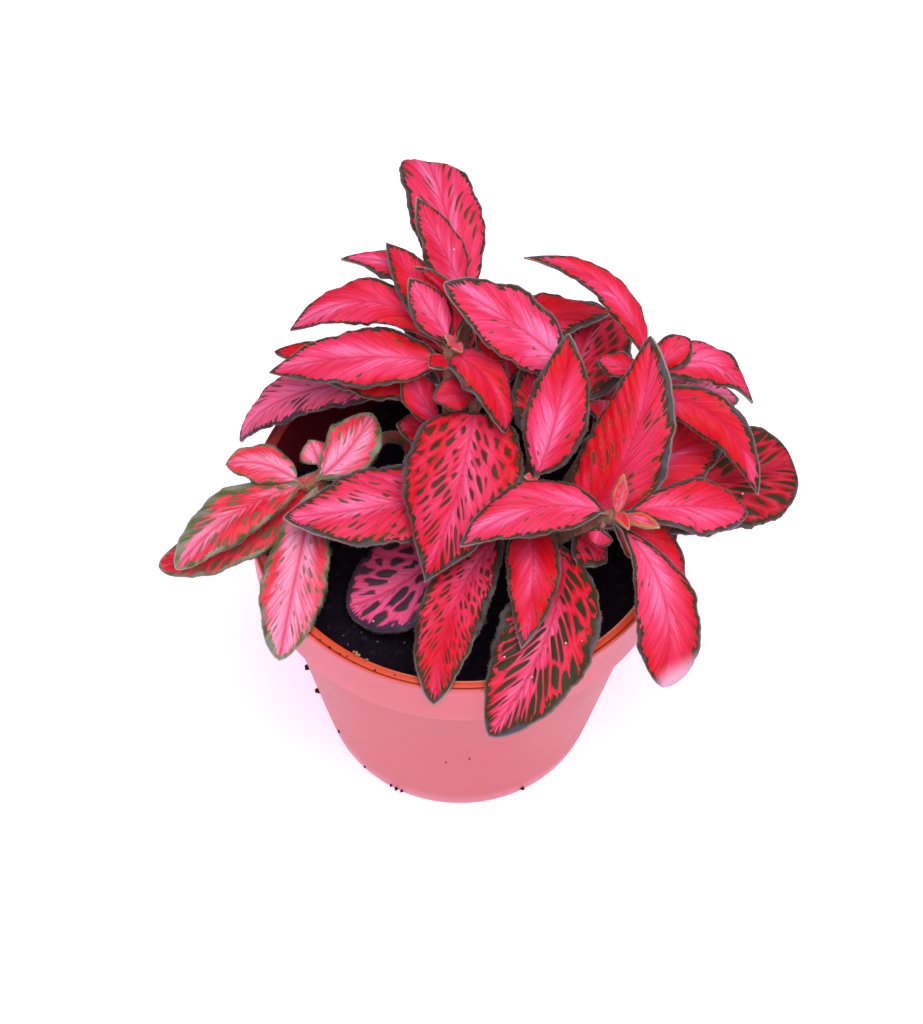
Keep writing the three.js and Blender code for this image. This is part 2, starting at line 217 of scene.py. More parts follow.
# A look says how a leaf is coloured: how far the dark cells fill it (0 to 1.5), how
# young it is, how much shade and purple it has, the width in mm of the dark band
# along its edge, how much of it is pink, and the size of its cells in mm, first
# across the side veins as measured along the midrib, then sideways.
LOOKS = {
    "heavy": (1.3, 0.0, 0.0, 1.45, 0.3, (2.7, 3.4)),
    "netted": (0.9, 0.0, 0.0, 1.1, 0.3, (2.5, 2.4)),
    "deep": (1.15, 0.0, 0.0, 1.0, 0.0, (3.8, 3.2)),
    "open": (0.6, 0.0, 0.0, 1.0, 0.6, (2.3, 2.2)),
    "dashed": (0.5, 0.0, 0.0, 0.9, 0.1, (2.3, 3.2)),
    "red": (0.1, 0.0, 0.0, 0.65, 0.2, (2.4, 2.4)),
    "pink": (0.1, 0.0, 0.0, 0.65, 0.68, (2.4, 2.4)),
    "coral": (0.95, 1.0, 0.0, 0.6, 0.1, (2.3, 2.2)),
    "fresh": (0.45, 1.0, 0.0, 0.55, 0.6, (2.3, 2.0)),
    "shaded": (0.6, 0.0, 0.6, 0.7, 0.6, (2.4, 3.6)),
    "purple": (1.15, 0.0, 1.0, 1.1, 1.0, (4.0, 2.8)),
    "bud": (0.0, 1.6, 0.0, 1.3, 0.0, (2.0, 1.5)),
    "tuft": (0.0, 1.35, 0.3, 1.2, 0.0, (2.0, 1.5)),
}

# A leaf's shape and finish, where its row says nothing else: where it is fullest from
# base (0) to tip (1), how slowly it narrows there, its stalk in mm, how far its tip
# curls down in mm and leans to the left, how steeply the side veins leave the midrib,
# how much painted glare pales its tip, how much painted shade makes it deep red and
# dull, and how much less pink its base and its tip are. A row can also give "point", how
# slowly it narrows at its very tip, "bands", the width in mm of its right and left band,
# and "cell", the size of its cells.
PLAIN = {
    "fullest": 0.42,
    "taper": 0.8,
    "stalk": 2.5,
    "curl": 0.0,
    "skew": 0.0,
    "steep": 0.75,
    "faded": 0.0,
    "old": 0.0,
    "flush": (0.0, 0.0),
}
# The shape of a rounder leaf.
ROUND = {"fullest": 0.5, "taper": 0.62}

# Each shoot has its foot on the soil (x, y), the knee it bends towards, its top, and
# its leaves as (place along the stem, tip, width, arch, sway, roll, look, shape), in
# mm and degrees. Arch lifts the middle of a leaf, sway moves it to the left of its
# heading and roll lifts its left edge.
SHOOTS = {
    "shoot_front_right": {
        "foot": (13.5, -7),
        "knee": (20.5, -11.5, 86.5),
        "top": (30.5, -16, 98.5),
        "leaves": [
            (0.98, (-0.5, -23.5, 97), 12, 3, -3.5, -12, "pink", {"steep": 0.9, "flush": (0.1, -0.1)}),
            (0.98, (57, -13, 95.5), 12, 3, 0, 12, "pink",
             {"fullest": 0.6, "taper": 0.65, "flush": (0.1, 0.15)}),
            (0.93, (40, -46, 82.5), 13.5, 3, 5, 0, "pink",
             {"fullest": 0.66, "taper": 0.55, "faded": 0.9, "bands": (0.7, 1.0), "flush": (0, 0.4)}),
            (0.86, (45, -25, 85.5), 10, 3, 1, 10, "red", {}),
            (1, (38.5, -21.5, 102.5), 4, 0.5, 0, 0, "bud", {}),
            (0.9, (27, -19, 91.5), 5.5, 1, 0, 0, "red", {}),
            (1, (31.5, -11, 105.5), 3.4, 0.5, 0, 0, "bud", {"stalk": 0.8}),
            (1, (32.5, -21.5, 101.5), 3.2, 1, 0, 0, "bud", {"stalk": 0.8}),
            (0.62, (36.5, 14.5, 117.5), 18, 1.5, -4.5, 0, "dashed",
             {"fullest": 0.33, "taper": 0.7, "steep": 0.85, "bands": (1.35, 0.65)}),
            (0.68, (54, 10.5, 92.5), 18, 2, 1.5, 10, "red",
             {"fullest": 0.55, "taper": 0.62, "old": 0.15, "bands": (1.1, 0.7), "flush": (-0.5, 0.2)}),
            (0.5, (68.5, 4.5, 88.5), 25, 3, 0, 5, "deep",
             {"old": 0.85, "fullest": 0.68, "taper": 0.36, "stalk": 6, "skew": 0.05}),
            (0.42, (6, -54, 75.5), 20, 5, 5, 0, "heavy", {**ROUND, "steep": 0.62}),
            (0.5, (29.5, -16, 80.5), 11, 2, 0, 0, "netted", {"stalk": 1.5}),
        ],
    },
    "shoot_left_tall": {
        "foot": (-0.5, 9),
        "knee": (-5, 8, 98),
        "top": (-3, 14, 113),
        "leaves": [
            (0.93, (-36.5, 22.5, 106.5), 10, 6, -6, -20, "pink",
             {"fullest": 0.54, "flush": (0.7, 0), "bands": (0.6, 0.35)}),
            (0.88, (-40.5, 14.5, 102.5), 13, 3, -0.5, -15, "pink",
             {"fullest": 0.38, "flush": (0.5, -0.15), "bands": (0.8, 0.55)}),
            (1, (-12, 22.5, 124), 8.5, 0.5, 0, -10, "pink", {}),
            (0.95, (-17, 35, 120), 9, 3.5, 0, -10, "red", {}),
            (0.99, (-11, 26, 123.5), 4.5, 2, -4, -60, "red", {}),
            (0.95, (8, -0.5, 104), 10.5, 4, 1.6, -10, "red", {"fullest": 0.3, "taper": 0.55, "stalk": 0.8}),
            (0.66, (-29.5, 18, 95.5), 11, 4, 0, -10, "red", {}),
            (0.62, (-51, 15, 79.5), 11, 5, -5, -15, "shaded",
             {"fullest": 0.55, "taper": 0.6, "stalk": 6, "curl": 4}),
            (0.84, (-40, 21.5, 100.5), 7.5, 1.5, 0, -10, "red", {"taper": 0.55, "stalk": 6}),
            (0.45, (-12, 13, 106.5), 8.5, 1.5, 3, -10, "red",
             {"bands": (0.4, 0.4), "fullest": 0.6, "taper": 0.6, "stalk": 5, "flush": (-0.3, 0.3)}),
            (0.44, (-13.5, 12, 97.5), 4, 1, 0, 0, "red", {}),
            (0.9, (-7.5, 9, 112.5), 5.5, 0.8, 0, 0, "red", {"stalk": 0.8}),
            (1, (-1, 11.5, 114.5), 3, 0.8, 0, 0, "tuft", {"stalk": 0.8}),
            (1, (-4.5, 14.5, 116), 2.8, 0.5, 0, 0, "tuft", {"stalk": 0.8}),
            (0.35, (-14.5, 10.5, 91), 10, 1, 0, 0, "red", {"bands": (0.5, 0.5), "flush": (0.4, -0.4)}),
            (0.7, (-30.5, 31, 86), 13, 4, 0, 0, "open", ROUND),
        ],
    },
    "shoot_left_low": {
        "foot": (-11.5, 10),
        "knee": (-8, 27, 84),
        "top": (-33, -2.5, 85.5),
        "leaves": [
            (0.98, (-58.5, -20.5, 81.5), 11.5, 3, -2, -12, "coral",
             {**ROUND, "bands": (1.5, 0.6), "flush": (-0.25, -0.2)}),
            (0.86, (-63.5, -14.5, 73), 12.5, 1.5, 4.2, -10, "coral", {"fullest": 0.54, "taper": 0.5}),
            (0.95, (-36.5, -38.5, 76.5), 13.5, 1.5, 0, 0, "fresh",
             {"bands": (0.95, 0.65), "flush": (-0.55, -0.45), "fullest": 0.56, "taper": 0.6}),
            (1, (-49.5, 1, 88.5), 9, 2, -1.6, -10, "fresh",
             {"bands": (0.6, 0.3), "flush": (-0.3, 0.5), "fullest": 0.5, "taper": 0.6}),
            (0.98, (-19.5, 11, 94), 11.5, 2, -2.5, 15, "fresh",
             {"bands": (0.9, 0.8), "flush": (0, 0.5), "fullest": 0.55, "taper": 0.62}),
            (0.93, (-32.5, 7, 89.5), 7, 1.5, 0, 0, "fresh", {}),
        ],
    },
    "shoot_front": {
        "foot": (8.5, -3),
        "knee": (13.5, -5.5, 86),
        "top": (14, -8.5, 98),
        "leaves": [
            (0.98, (20, 13, 119.5), 13, 1.5, -1.6, 0, "pink",
             {"steep": 0.8, "bands": (0.75, 0.75), "flush": (0, 0.9)}),
            (1, (12, -9, 101), 2.5, 0.5, 0, 0, "bud", {"stalk": 0.8}),
            (0.55, (12, -40, 86), 11, 2.5, 2, 0, "red", {"steep": 1}),
            (0.35, (-5, -49, 78.5), 13.5, 3, -4, 0, "netted", {**ROUND, "stalk": 6, "cell": (2.0, 1.6)}),
            (0.88, (11, 14, 106.5), 10, 1, -2.5, 0, "netted", {"fullest": 0.55, "stalk": 7}),
        ],
    },
    "shoot_right": {
        "foot": (18.5, 3),
        "knee": (24, 4.5, 92.5),
        "top": (37.5, 11.5, 108.5),
        "leaves": [
            (0.97, (11, 28.5, 124), 7.5, 3, -7, 0, "pink", {"taper": 0.9, "stalk": 3.5}),
            (0.97, (26.5, 16, 107.5), 7, 1, 0, 0, "red", {}),
            (0.99, (45, 17.5, 113), 7.5, 1, 0, 10, "red", ROUND),
            (0.92, (58.5, 9.5, 102.5), 9.5, 6, 4, 10, "pink", {}),
            (0.84, (59.5, -8, 95), 9, 7, 4, 30, "red", {"flush": (-0.5, -0.2), "bands": (0.5, 0.85)}),
            (0.6, (29.5, 16, 93.5), 8, 2, 0, 0, "red", {}),
            (0.48, (47, 34, 82.5), 14, 4, 0, 0, "open", ROUND),
            (0.72, (58, 22, 87.5), 11, 4, 0, 0, "open", ROUND),
        ],
    },
    "shoot_middle": {
        "foot": (12.5, 9),
        "knee": (16, 9.5, 92),
        "top": (20.5, 12.5, 110.5),
        "leaves": [
            (0.97, (-5, 20.5, 125), 15.5, 2, 0, -10, "pink",
             {"fullest": 0.38, "taper": 0.66, "steep": 0.7, "bands": (1.25, 0.75), "flush": (-0.35, -0.15)}),
            (0.6, (26.5, 39.5, 97.5), 22, 3, -2, 0, "netted",
             {"taper": 0.62, "stalk": 5, "old": 0.5, "cell": (2.3, 2.0), "bands": (1.2, 1.2)}),
            (0.42, (31.5, 41.5, 82.5), 13, 4, 0, 0, "open", ROUND),
        ],
    },
    "shoot_back": {
        "foot": (-0.5, 18),
        "knee": (-2, 18, 92),
        "top": (-0.5, 27.5, 111),
        "leaves": [
            (0.9, (-9, 58.5, 119), 15, 5, -0.5, 0, "open",
             {"bands": (0.7, 0.7), "flush": (-0.15, -0.35),
              "cell": (2.4, 3.6), "fullest": 0.6, "taper": 0.5, "point": 0.12, "skew": 0.6}),
            (1, (-11, 39.5, 129), 9.5, 1, 0, 0, "pink", {}),
            (0.9, (-26.5, 36, 113.5), 9, 5, -1.5, 0, "pink", {}),
            (0.9, (7, 11, 102.5), 10, 3, 3.5, 0, "red", {}),
            (0.7, (30.5, 34.5, 100), 13, 5, 0, 0, "red", {"old": 0.15, "bands": (1, 1)}),
            (0.6, (-14.5, 49.5, 84), 15, 6, 0, 0, "open", ROUND),
            (0.58, (14.5, 43.5, 84), 14, 4, 0, 0, "open", ROUND),
            (0.5, (-28.5, 38.5, 80), 13, 4, 0, 0, "netted", ROUND),
            (0.42, (1.5, 49, 81), 12, 3, 0, 0, "netted", ROUND),
        ],
    },
    "shoot_centre": {
        "foot": (-0.5, -1),
        "knee": (-0.5, -1, 86),
        "top": (2, 8.5, 103),
        "leaves": [
            (0.98, (-7.5, -24.5, 85), 24, 4, 2, 0, "netted",
             {"fullest": 0.34, "taper": 0.48, "point": 1, "steep": 0.7}),
            (0.97, (-6.5, 4.5, 108), 7, 2.5, 0, -30, "red",
             {"fullest": 0.5, "taper": 0.6, "old": 0.5, "bands": (0.3, 0.3)}),
            (0.45, (-36.5, -14, 91.5), 18.5, 3, 3.5, -8, "open", {"stalk": 5}),
            (0.12, (-24, -20.5, 68), 23, 1.5, 4, 0, "purple",
             {"fullest": 0.5, "taper": 0.5, "stalk": 3, "steep": 0.5}),
        ],
    },
}


# Nodes and meshes

# The kinds of node used most, with their settings.
PLUS, MINUS, TIMES, OVER, TIMES_PLUS, LARGER, EXCEEDS = (
    ("ShaderNodeMath", {"operation": name})
    for name in ("ADD", "SUBTRACT", "MULTIPLY", "DIVIDE", "MULTIPLY_ADD", "MAXIMUM", "GREATER_THAN")
)
MIX = ("ShaderNodeMix", {"data_type": "RGBA"})
RAMP = ("ShaderNodeMapRange", {})
EASE = ("ShaderNodeMapRange", {"interpolation_type": "SMOOTHSTEP"})
NOISE = ("ShaderNodeTexNoise", {})
CELLS = ("ShaderNodeTexVoronoi", {})
BUMP = ("ShaderNodeBump", {})
SPLIT = ("ShaderNodeSeparateXYZ", {})
LAYER = ("ShaderNodeAttribute", {})
RANDOM = ("FunctionNodeRandomValue", {"data_type": "FLOAT_VECTOR"})


def scale(size):
    """A pattern's scale, from the real size of its grain or its cells in mm."""
    return 1 / (size * MM)


def fill(target, *inputs):
    """Fills or links a node's inputs: those in use in their order, or by name from one
    dictionary. A node stands for its first output in use, and a hex text for its colour."""
    if inputs and isinstance(inputs[0], dict):
        pairs = [(target.inputs[key], value) for key, value in inputs[0].items()]
    else:
        pairs = zip([socket for socket in target.inputs if socket.enabled], inputs)
    for socket, value in pairs:
        if isinstance(value, bpy.types.Node):
            value = next(output for output in value.outputs if output.enabled)
        if isinstance(value, bpy.types.NodeSocket):
            target.id_data.links.new(value, socket)
        elif isinstance(value, str) and value.startswith("#"):
            socket.default_value = linear(value)
        else:
            socket.default_value = value


def add(tree, kind, *inputs, **settings):
    """Adds a node of a kind, which is its type or its type and settings, and fills it."""
    if isinstance(kind, tuple):
        kind, usual = kind
        settings = {**usual, **settings}
    made = tree.nodes.new(kind)
    for name, value in settings.items():
        setattr(made, name, value)
    fill(made, *inputs)
    return made


def new_material(name):
    """A material with one principled shader, what adds a node to it, the shader itself, and
    the place on the piece."""
    material = bpy.data.materials.new(name)
    material.use_nodes = True
    material.node_tree.nodes.clear()
    node = partial(add, material.node_tree)
    shader = node("ShaderNodeBsdfPrincipled")
    node("ShaderNodeOutputMaterial", shader)
    return material, node, shader, node("ShaderNodeTexCoord").outputs["Object"]


def new_tree(name, inputs):
    """A geometry tree that takes a geometry and the named inputs, what adds a node to it,
    its inputs and its end."""
    tree = bpy.data.node_groups.new(name, "GeometryNodeTree")
    tree.is_modifier = True
    face = tree.interface
    face.new_socket("Geometry", in_out="INPUT", socket_type="NodeSocketGeometry")
    for label, kind in inputs.items():
        face.new_socket(label, in_out="INPUT", socket_type=f"NodeSocket{kind}")
    face.new_socket("Geometry", in_out="OUTPUT", socket_type="NodeSocketGeometry")
    node = partial(add, tree)
    return tree, node, node("NodeGroupInput").outputs, node("NodeGroupOutput")


def run_tree(thing, tree, values):
    """Runs a geometry tree on an object with these input values, and keeps the result as its mesh."""
    modifier = thing.modifiers.new(tree.name, "NODES")
    modifier.node_group = tree
    for item in tree.interface.items_tree:
        if item.in_out == "INPUT" and item.name in values:
            modifier[item.identifier] = values[item.name]
    keep_result(thing)


def keep_result(thing):
    """Turns an object's modifiers into its plain mesh."""
    bpy.context.view_layer.update()
    graph = bpy.context.evaluated_depsgraph_get()
    mesh = bpy.data.meshes.new_from_object(thing.evaluated_get(graph))
    thing.modifiers.clear()
    thing.data = mesh
    mesh.name = thing.name


def place_mesh(name, mesh):
    """An object at the origin with this mesh."""
    thing = bpy.data.objects.new(name, mesh)
    bpy.context.collection.objects.link(thing)
    return thing


def place_shape(name, shape):
    """An object at the origin with the mesh of a bmesh, which is then done with."""
    mesh = bpy.data.meshes.new(name)
    shape.to_mesh(mesh)
    shape.free()
    return place_mesh(name, mesh)


def new_object(name, points, faces, edges=()):
    """A smooth mesh object at the origin from points in metres."""
    mesh = bpy.data.meshes.new(name)
    mesh.from_pydata([tuple(p) for p in points], [tuple(e) for e in edges], [tuple(f) for f in faces])
    mesh.update()
    if faces:
        mesh.shade_smooth()
    return place_mesh(name, mesh)


def places_of(mesh):
    """The places of a mesh's points, one in each row."""
    places = np.zeros(len(mesh.vertices) * 3, np.float32)
    mesh.vertices.foreach_get("co", places)
    return places.reshape(-1, 3)


def set_attribute(mesh, name, kind, values):
    """Stores one value for each point of a mesh."""
    layer = mesh.attributes.new(name, kind, "POINT")
    key = "vector" if kind == "FLOAT_VECTOR" else "value"
    layer.data.foreach_set(key, np.asarray(values, np.float32).ravel())


def lathe(name, profile, segments):
    """A closed turned body from (radius, height) pairs that start and end on the axis."""
    shape = bmesh.new()
    rings = []
    for radius, height in profile:
        if radius < 1e-6:
            rings.append([shape.verts.new((0, 0, height))])
            continue
        turn = [2 * math.pi * i / segments for i in range(segments)]
        rings.append([shape.verts.new((radius * math.cos(a), radius * math.sin(a), height)) for a in turn])
    for low, high in zip(rings, rings[1:]):
        for i in range(segments):
            j = (i + 1) % segments
            corners = [low[i % len(low)], low[j % len(low)], high[j % len(high)], high[i % len(high)]]
            shape.faces.new(list(dict.fromkeys(corners)))
    bmesh.ops.recalc_face_normals(shape, faces=shape.faces)
    thing = place_shape(name, shape)
    thing.data.shade_smooth()
    return thing


def finish_piece(thing, slot, *nodes):
    """Lets a piece ride on the plant's one body, and stand for its CAD nodes."""
    if not thing.data.polygons:
        raise RuntimeError(f"{thing.name} came out with no faces")
    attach(thing, "root")
    if nodes:
        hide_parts(*nodes)


# Pot


def arc(centre, radius, start, end, steps):
    """Points of a round corner of the pot's outline, from one angle to another in degrees."""
    angles = [math.radians(start + (end - start) * i / steps) for i in range(steps + 1)]
    return [(centre[0] + radius * math.cos(a), centre[1] + radius * math.sin(a)) for a in angles]


def wall_radius(pot, z):
    """Outer radius of the tapered wall at a height above the foot."""
    band = pot.height - pot.collar_height
    return pot.foot_radius + (pot.rim_radius - pot.collar_step - pot.foot_radius) * z / band


def pot_profile(pot):
    """The pot's outline from the middle of its underside, up the outside and down the inside."""
    top = pot.height
    rim = pot.rim_radius
    band = top - pot.collar_height
    inner_band = wall_radius(pot, band) - pot.wall
    floor = FLOOR_THICKNESS
    recess = 2 * MM
    bevel = 0.2 * MM
    corner = 0.45 * MM
    ring = pot.foot_radius - FOOT_RING
    profile = [
        (0, 0),
        (FOOT_CENTRE, 0),
        (FOOT_CENTRE + 0.3 * MM, bevel),
        (FOOT_CENTRE + 0.8 * MM, recess),
        (ring - 0.8 * MM, recess),
        (ring - 0.3 * MM, bevel),
        (ring, 0),
    ]
    profile += arc((pot.foot_radius - 0.8 * MM, 0.8 * MM), 0.8 * MM, -90, -8, 6)
    profile += [(wall_radius(pot, band * k / 8), band * k / 8) for k in range(1, 8)]
    profile.append((wall_radius(pot, band - 0.9 * MM), band - 0.9 * MM))
    profile.append((wall_radius(pot, band) + 0.1 * MM, band - 0.3 * MM))
    profile += arc((rim - 0.35 * MM - corner, band + corner), corner, -80, 0, 5)
    profile += [(rim - 0.25 * MM, band + pot.collar_height * 0.5), (rim - 0.1 * MM, top - 1.4 * MM)]
    profile += arc((rim - 0.4 * MM, top - 0.4 * MM), 0.4 * MM, 10, 90, 6)
    # a narrow groove parts the thin outer bead from the flat of the lip
    groove = ((0.6, 0.02), (0.7, 0.12), (0.72, 0.3), (0.86, 0.3), (0.9, 0.14), (1.05, 0.06))
    profile += [(rim - r * MM, top - z * MM) for r, z in groove]
    profile += arc((rim - LIP_WIDTH + 0.4 * MM, top - 0.5 * MM), 0.4 * MM, 90, 180, 6)
    profile += [(inner_band, band), (inner_band - 0.3 * MM, band - 2 * MM)]
    profile += [(wall_radius(pot, z * MM) - pot.wall, z * MM) for z in (50, 35, 20, 7)]
    profile += [(wall_radius(pot, floor) - pot.wall - 1.5 * MM, floor), (0, floor)]
    return profile


def cut_drain_holes(thing):
    """Cuts the ring of drain holes through the floor."""
    shape = bmesh.new()
    size = {"radius1": HOLE_RADIUS, "radius2": HOLE_RADIUS, "depth": 12 * MM}
    for i in range(HOLES):
        angle = (i + 0.5) * 2 * math.pi / HOLES
        made = bmesh.ops.create_cone(shape, cap_ends=True, segments=40, **size)
        place = Vector((HOLE_CIRCLE * math.cos(angle), HOLE_CIRCLE * math.sin(angle), 1 * MM))
        bmesh.ops.translate(shape, verts=made["verts"], vec=place)
    cutter = place_shape("drain_cutters", shape)
    modifier = thing.modifiers.new("drain holes", "BOOLEAN")
    modifier.object = cutter
    modifier.solver = "EXACT"
    keep_result(thing)
    bpy.data.objects.remove(cutter)


def pot_material(pot):
    """Polypropylene, injection moulded: even satin salmon plastic, a little light inside it,
    specks of dirt, and painted light and shade: a paler collar and foot, a darker right side,
    inner wall, lip groove and lip back, a lip orange with painted glow, and a painted
    highlight on the lip's inner edge."""
    material, node, shader, place = new_material("Polypropylene, injection moulded, terracotta")
    # the inner wall gets painted shade
    inner = node(LAYER, attribute_name="inside").outputs["Fac"]
    sideways, back, height = node(SPLIT, place).outputs
    flat = node("ShaderNodeVectorMath", place, (1.0, 1.0, 0.0), operation="MULTIPLY")
    reach = node("ShaderNodeVectorMath", flat, operation="LENGTH")
    top, rim = pot.height, pot.rim_radius
    band = top - pot.collar_height

    # painted light makes the collar paler, the plastic clouds a little every 2 cm, painted
    # shade makes it deeper towards the right, and painted light from the floor makes the foot paler
    painted_light_collar = node(RAMP, height, band - 0.4 * MM, band + 0.1 * MM)
    base = node(MIX, painted_light_collar, pot.plastic, pot.collar)
    clouds = node(NOISE, place, scale(22.2), 2.0)
    shade = node(RAMP, clouds, 0.3, 0.7, 0.94, 1.04)
    # painted shade: the plastic is darker towards the right
    turned = node(RAMP, sideways, -22 * MM, 8 * MM, 1.02, 0.95)
    for much in (shade, turned):
        base = node(MIX, 1.0, base, much, blend_type="MULTIPLY")
    # painted light from the floor: the foot is paler
    low = node(RAMP, height, 7 * MM, 0.0, 0.0, 0.5)

    # the lip has painted shade in its groove and away from the front, and a pale painted
    # highlight along its inner edge, more so towards the front right
    groove = node("ShaderNodeMath", reach, rim - 0.8 * MM, 0.13 * MM, operation="COMPARE")
    dull = node(RAMP, back, -24 * MM, -14 * MM, 0.0, 0.85)
    painted_highlight_side = node(RAMP, sideways, -22 * MM, -4 * MM, 0.0, 0.7)
    painted_highlight = node(RAMP, reach, rim - 2.0 * MM, rim - 2.35 * MM, 0.0, painted_highlight_side)
    # the lip's orange is painted glow of light through the thin plastic
    lip = pot.lip
    for much, tone in ((groove, "#8E2414"), (dull, "#8C2C34"), (painted_highlight, "#F6A090")):
        lip = node(MIX, much, lip, tone)
    upper = node(RAMP, height, top - 0.75 * MM, top - 0.35 * MM)
    on_lip = node(TIMES, upper, node(RAMP, reach, rim - 0.15 * MM, rim - 0.4 * MM))

    # specks of dirt about 0.4 mm across, in a quarter of cells of 6 mm
    specks = node(CELLS, place, scale(5.88))
    chosen = node(EXCEEDS, node(SPLIT, specks.outputs["Color"]), 0.75)
    dirt = node(TIMES, node(RAMP, specks, 0.05, 0.02), chosen)
    coats = ((low, "#F0A0AC"), (inner, pot.inside), (on_lip, lip), (dirt, "#5A2430"))
    for much, coat in coats:
        base = node(MIX, much, base, coat)

    # the faint orange-peel of a moulded surface, about 0.6 mm across
    peel = node(NOISE, place, scale(0.625), 1.0)
    finish = {
        "Base Color": base,
        "Roughness": node(RAMP, clouds, 0.3, 0.7, 0.36, 0.46),
        "Normal": node(BUMP, {"Strength": 0.12, "Distance": 0.05 * MM, "Height": peel}),
        "IOR": 1.49,
        "Specular IOR Level": 0.3,
        "Subsurface Weight": 0.18,
        "Subsurface Radius": (1.0, 0.45, 0.35),
        "Subsurface Scale": 1.5 * MM,
    }
    fill(shader, finish)
    return material


class NERVEPLANT_OT_pot(bpy.types.Operator):
    """Makes the tapered pot with its collar, lip, foot ring and drain holes"""

    bl_idname = "nerveplant.pot"
    bl_label = "Pot"
    bl_options = {"REGISTER", "UNDO"}

    def execute(self, context):
        pot = context.scene.nerve_plant.pot
        thing = lathe("plastic_pot", pot_profile(pot), POT_SEGMENTS)
        cut_drain_holes(thing)
        mesh = thing.data
        mesh.materials.clear()
        mesh.materials.append(pot_material(pot))
        places = places_of(mesh)
        reach = np.hypot(places[:, 0], places[:, 1])
        outer = np.minimum(wall_radius(pot, places[:, 2]), pot.rim_radius)
        # the inner wall, where the painted shade goes
        inside = (reach < outer - 0.8 * MM) & (places[:, 2] > 3 * MM)
        set_attribute(mesh, "inside", "FLOAT", inside)
        mesh.set_sharp_from_angle(angle=math.radians(40))
        finish_piece(thing, "pot_plastic", "pot")
        return {"FINISHED"}


# Soil


def ripple(x, y, seed):
    """A smooth irregular height between about -1 and 1 at points in mm."""
    draw = np.random.default_rng(seed)
    height = np.zeros_like(x)
    for size, weight in ((11, 0.5), (6, 0.35), (3.2, 0.3), (1.8, 0.22), (1.1, 0.14)):
        angle, shift, turn = draw.uniform(0, 2 * math.pi, 3)
        run = 2 * math.pi * (x * math.cos(angle) + y * math.sin(angle)) / size + shift
        rise = 2 * math.pi * (y * math.cos(angle) - x * math.sin(angle)) / (size * 1.13) + turn
        height += weight * np.sin(run) * np.cos(rise)
    return height


# Crumbs that lie on the lip as (x, y, radius), on the wall as (angle in degrees, height,
# radius), and pale flecks on the soil as (x, y, radius), in mm.
LIP_CRUMBS = (
    (-28.4, -34.3, 0.22),
    (-26.4, -36.1, 0.32),
    (-24.2, -37.4, 0.16),
    (-22.7, -38, 0.28),
    (-21.3, -39.4, 0.22),
    (-17, -41, 0.26),
    (-13, -42.1, 0.18),
)
WALL_CRUMBS = (
    (202.5, 31.5, 0.8),
    (205.5, 22.7, 0.75),
    (215, 11, 0.4),
    (228, 2.5, 0.3),
    (241.5, 1.8, 0.5),
    (244, 1.6, 0.55),
    (246.5, 1.4, 0.45),
    (298, 2.2, 0.65),
    (274, 33, 0.25),
    (266, 30, 0.22),
)
PALE_FLECKS = (
    (-24.5, -26.1, 0.26),
    (-23.5, -28.3, 0.3),
    (-17.3, -27.4, 0.24),
    (-11.7, -27.5, 0.26),
    (-20.8, -25.2, 0.18),
)
# Dry bits of bark and root on the inner side of the lip, as (x, y, radius).
DRY_BITS = ((-20.9, -37.4, 0.5), (-20.4, -37.7, 0.4), (-21.4, -37, 0.35), (-18.8, -38.7, 0.35))


def peat_material(soil):
    """Damp peat: nearly black, matt and crumbly, with a few drier brown crumbs."""
    material, node, shader, place = new_material("Peat, damp, crumbled")
    # crumbs about 1 mm across differ in how dry they are
    crumbs = node(CELLS, place, scale(1.111))
    dry = node(RAMP, node(SPLIT, crumbs.outputs["Color"]), 0.86, 1.0, 0.0, 0.5)
    base = node(MIX, dry, soil.peat, soil.dry)
    # stray bits are dusted with mauve, and the driest are ochre
    ash = node(LAYER, attribute_name="ash").outputs["Fac"]
    ochre = node(EXCEEDS, ash, 0.6)
    base = node(MIX, ash, base, node(MIX, ochre, "#8E7C90", "#C49868"))
    # the crumbs are rough with a grain of about 0.4 mm
    grain = node(NOISE, place, scale(0.3846), 3.0)
    bump = node(BUMP, {"Strength": 0.6, "Distance": 0.25 * MM, "Height": grain})
    fill(shader, {"Base Color": base, "Roughness": 0.92, "IOR": 1.3, "Normal": bump})
    return material


def crumb_tree():
    """Strews small lumps over the upward faces of a surface and keeps the surface."""
    kinds = {"Density": "Float", "Size": "Float", "Seed": "Int", "Material": "Material"}
    tree, node, start, end = new_tree("crumbs", kinds)
    upward = node(SPLIT, node("GeometryNodeInputNormal")).outputs["Z"]
    places = {
        "Mesh": start["Geometry"],
        "Selection": node("FunctionNodeCompare", upward, 0.45, operation="GREATER_THAN"),
        "Density": start["Density"],
        "Seed": start["Seed"],
    }
    copies = {
        "Points": node("GeometryNodeDistributePointsOnFaces", places),
        "Instance": node("GeometryNodeMeshIcoSphere", start["Size"], 1),
    }
    # every lump has its own size and is turned at random
    for name, least, most in (
        ("Scale", (0.35, 0.35, 0.3), (1.5, 1.2, 1.0)),
        ("Rotation", (0.0, 0.0, 0.0), (6.28, 6.28, 6.28)),
    ):
        copies[name] = node(RANDOM, {"Min": least, "Max": most, "Seed": start["Seed"]})
    lumps = node("GeometryNodeInstanceOnPoints", copies)
    solid = node("GeometryNodeRealizeInstances", lumps)
    both = node("GeometryNodeJoinGeometry")
    for part in (start["Geometry"], solid):
        fill(both, part)
    done = {"Geometry": both, "Material": start["Material"]}
    fill(end, node("GeometryNodeSetMaterial", done))
    return tree


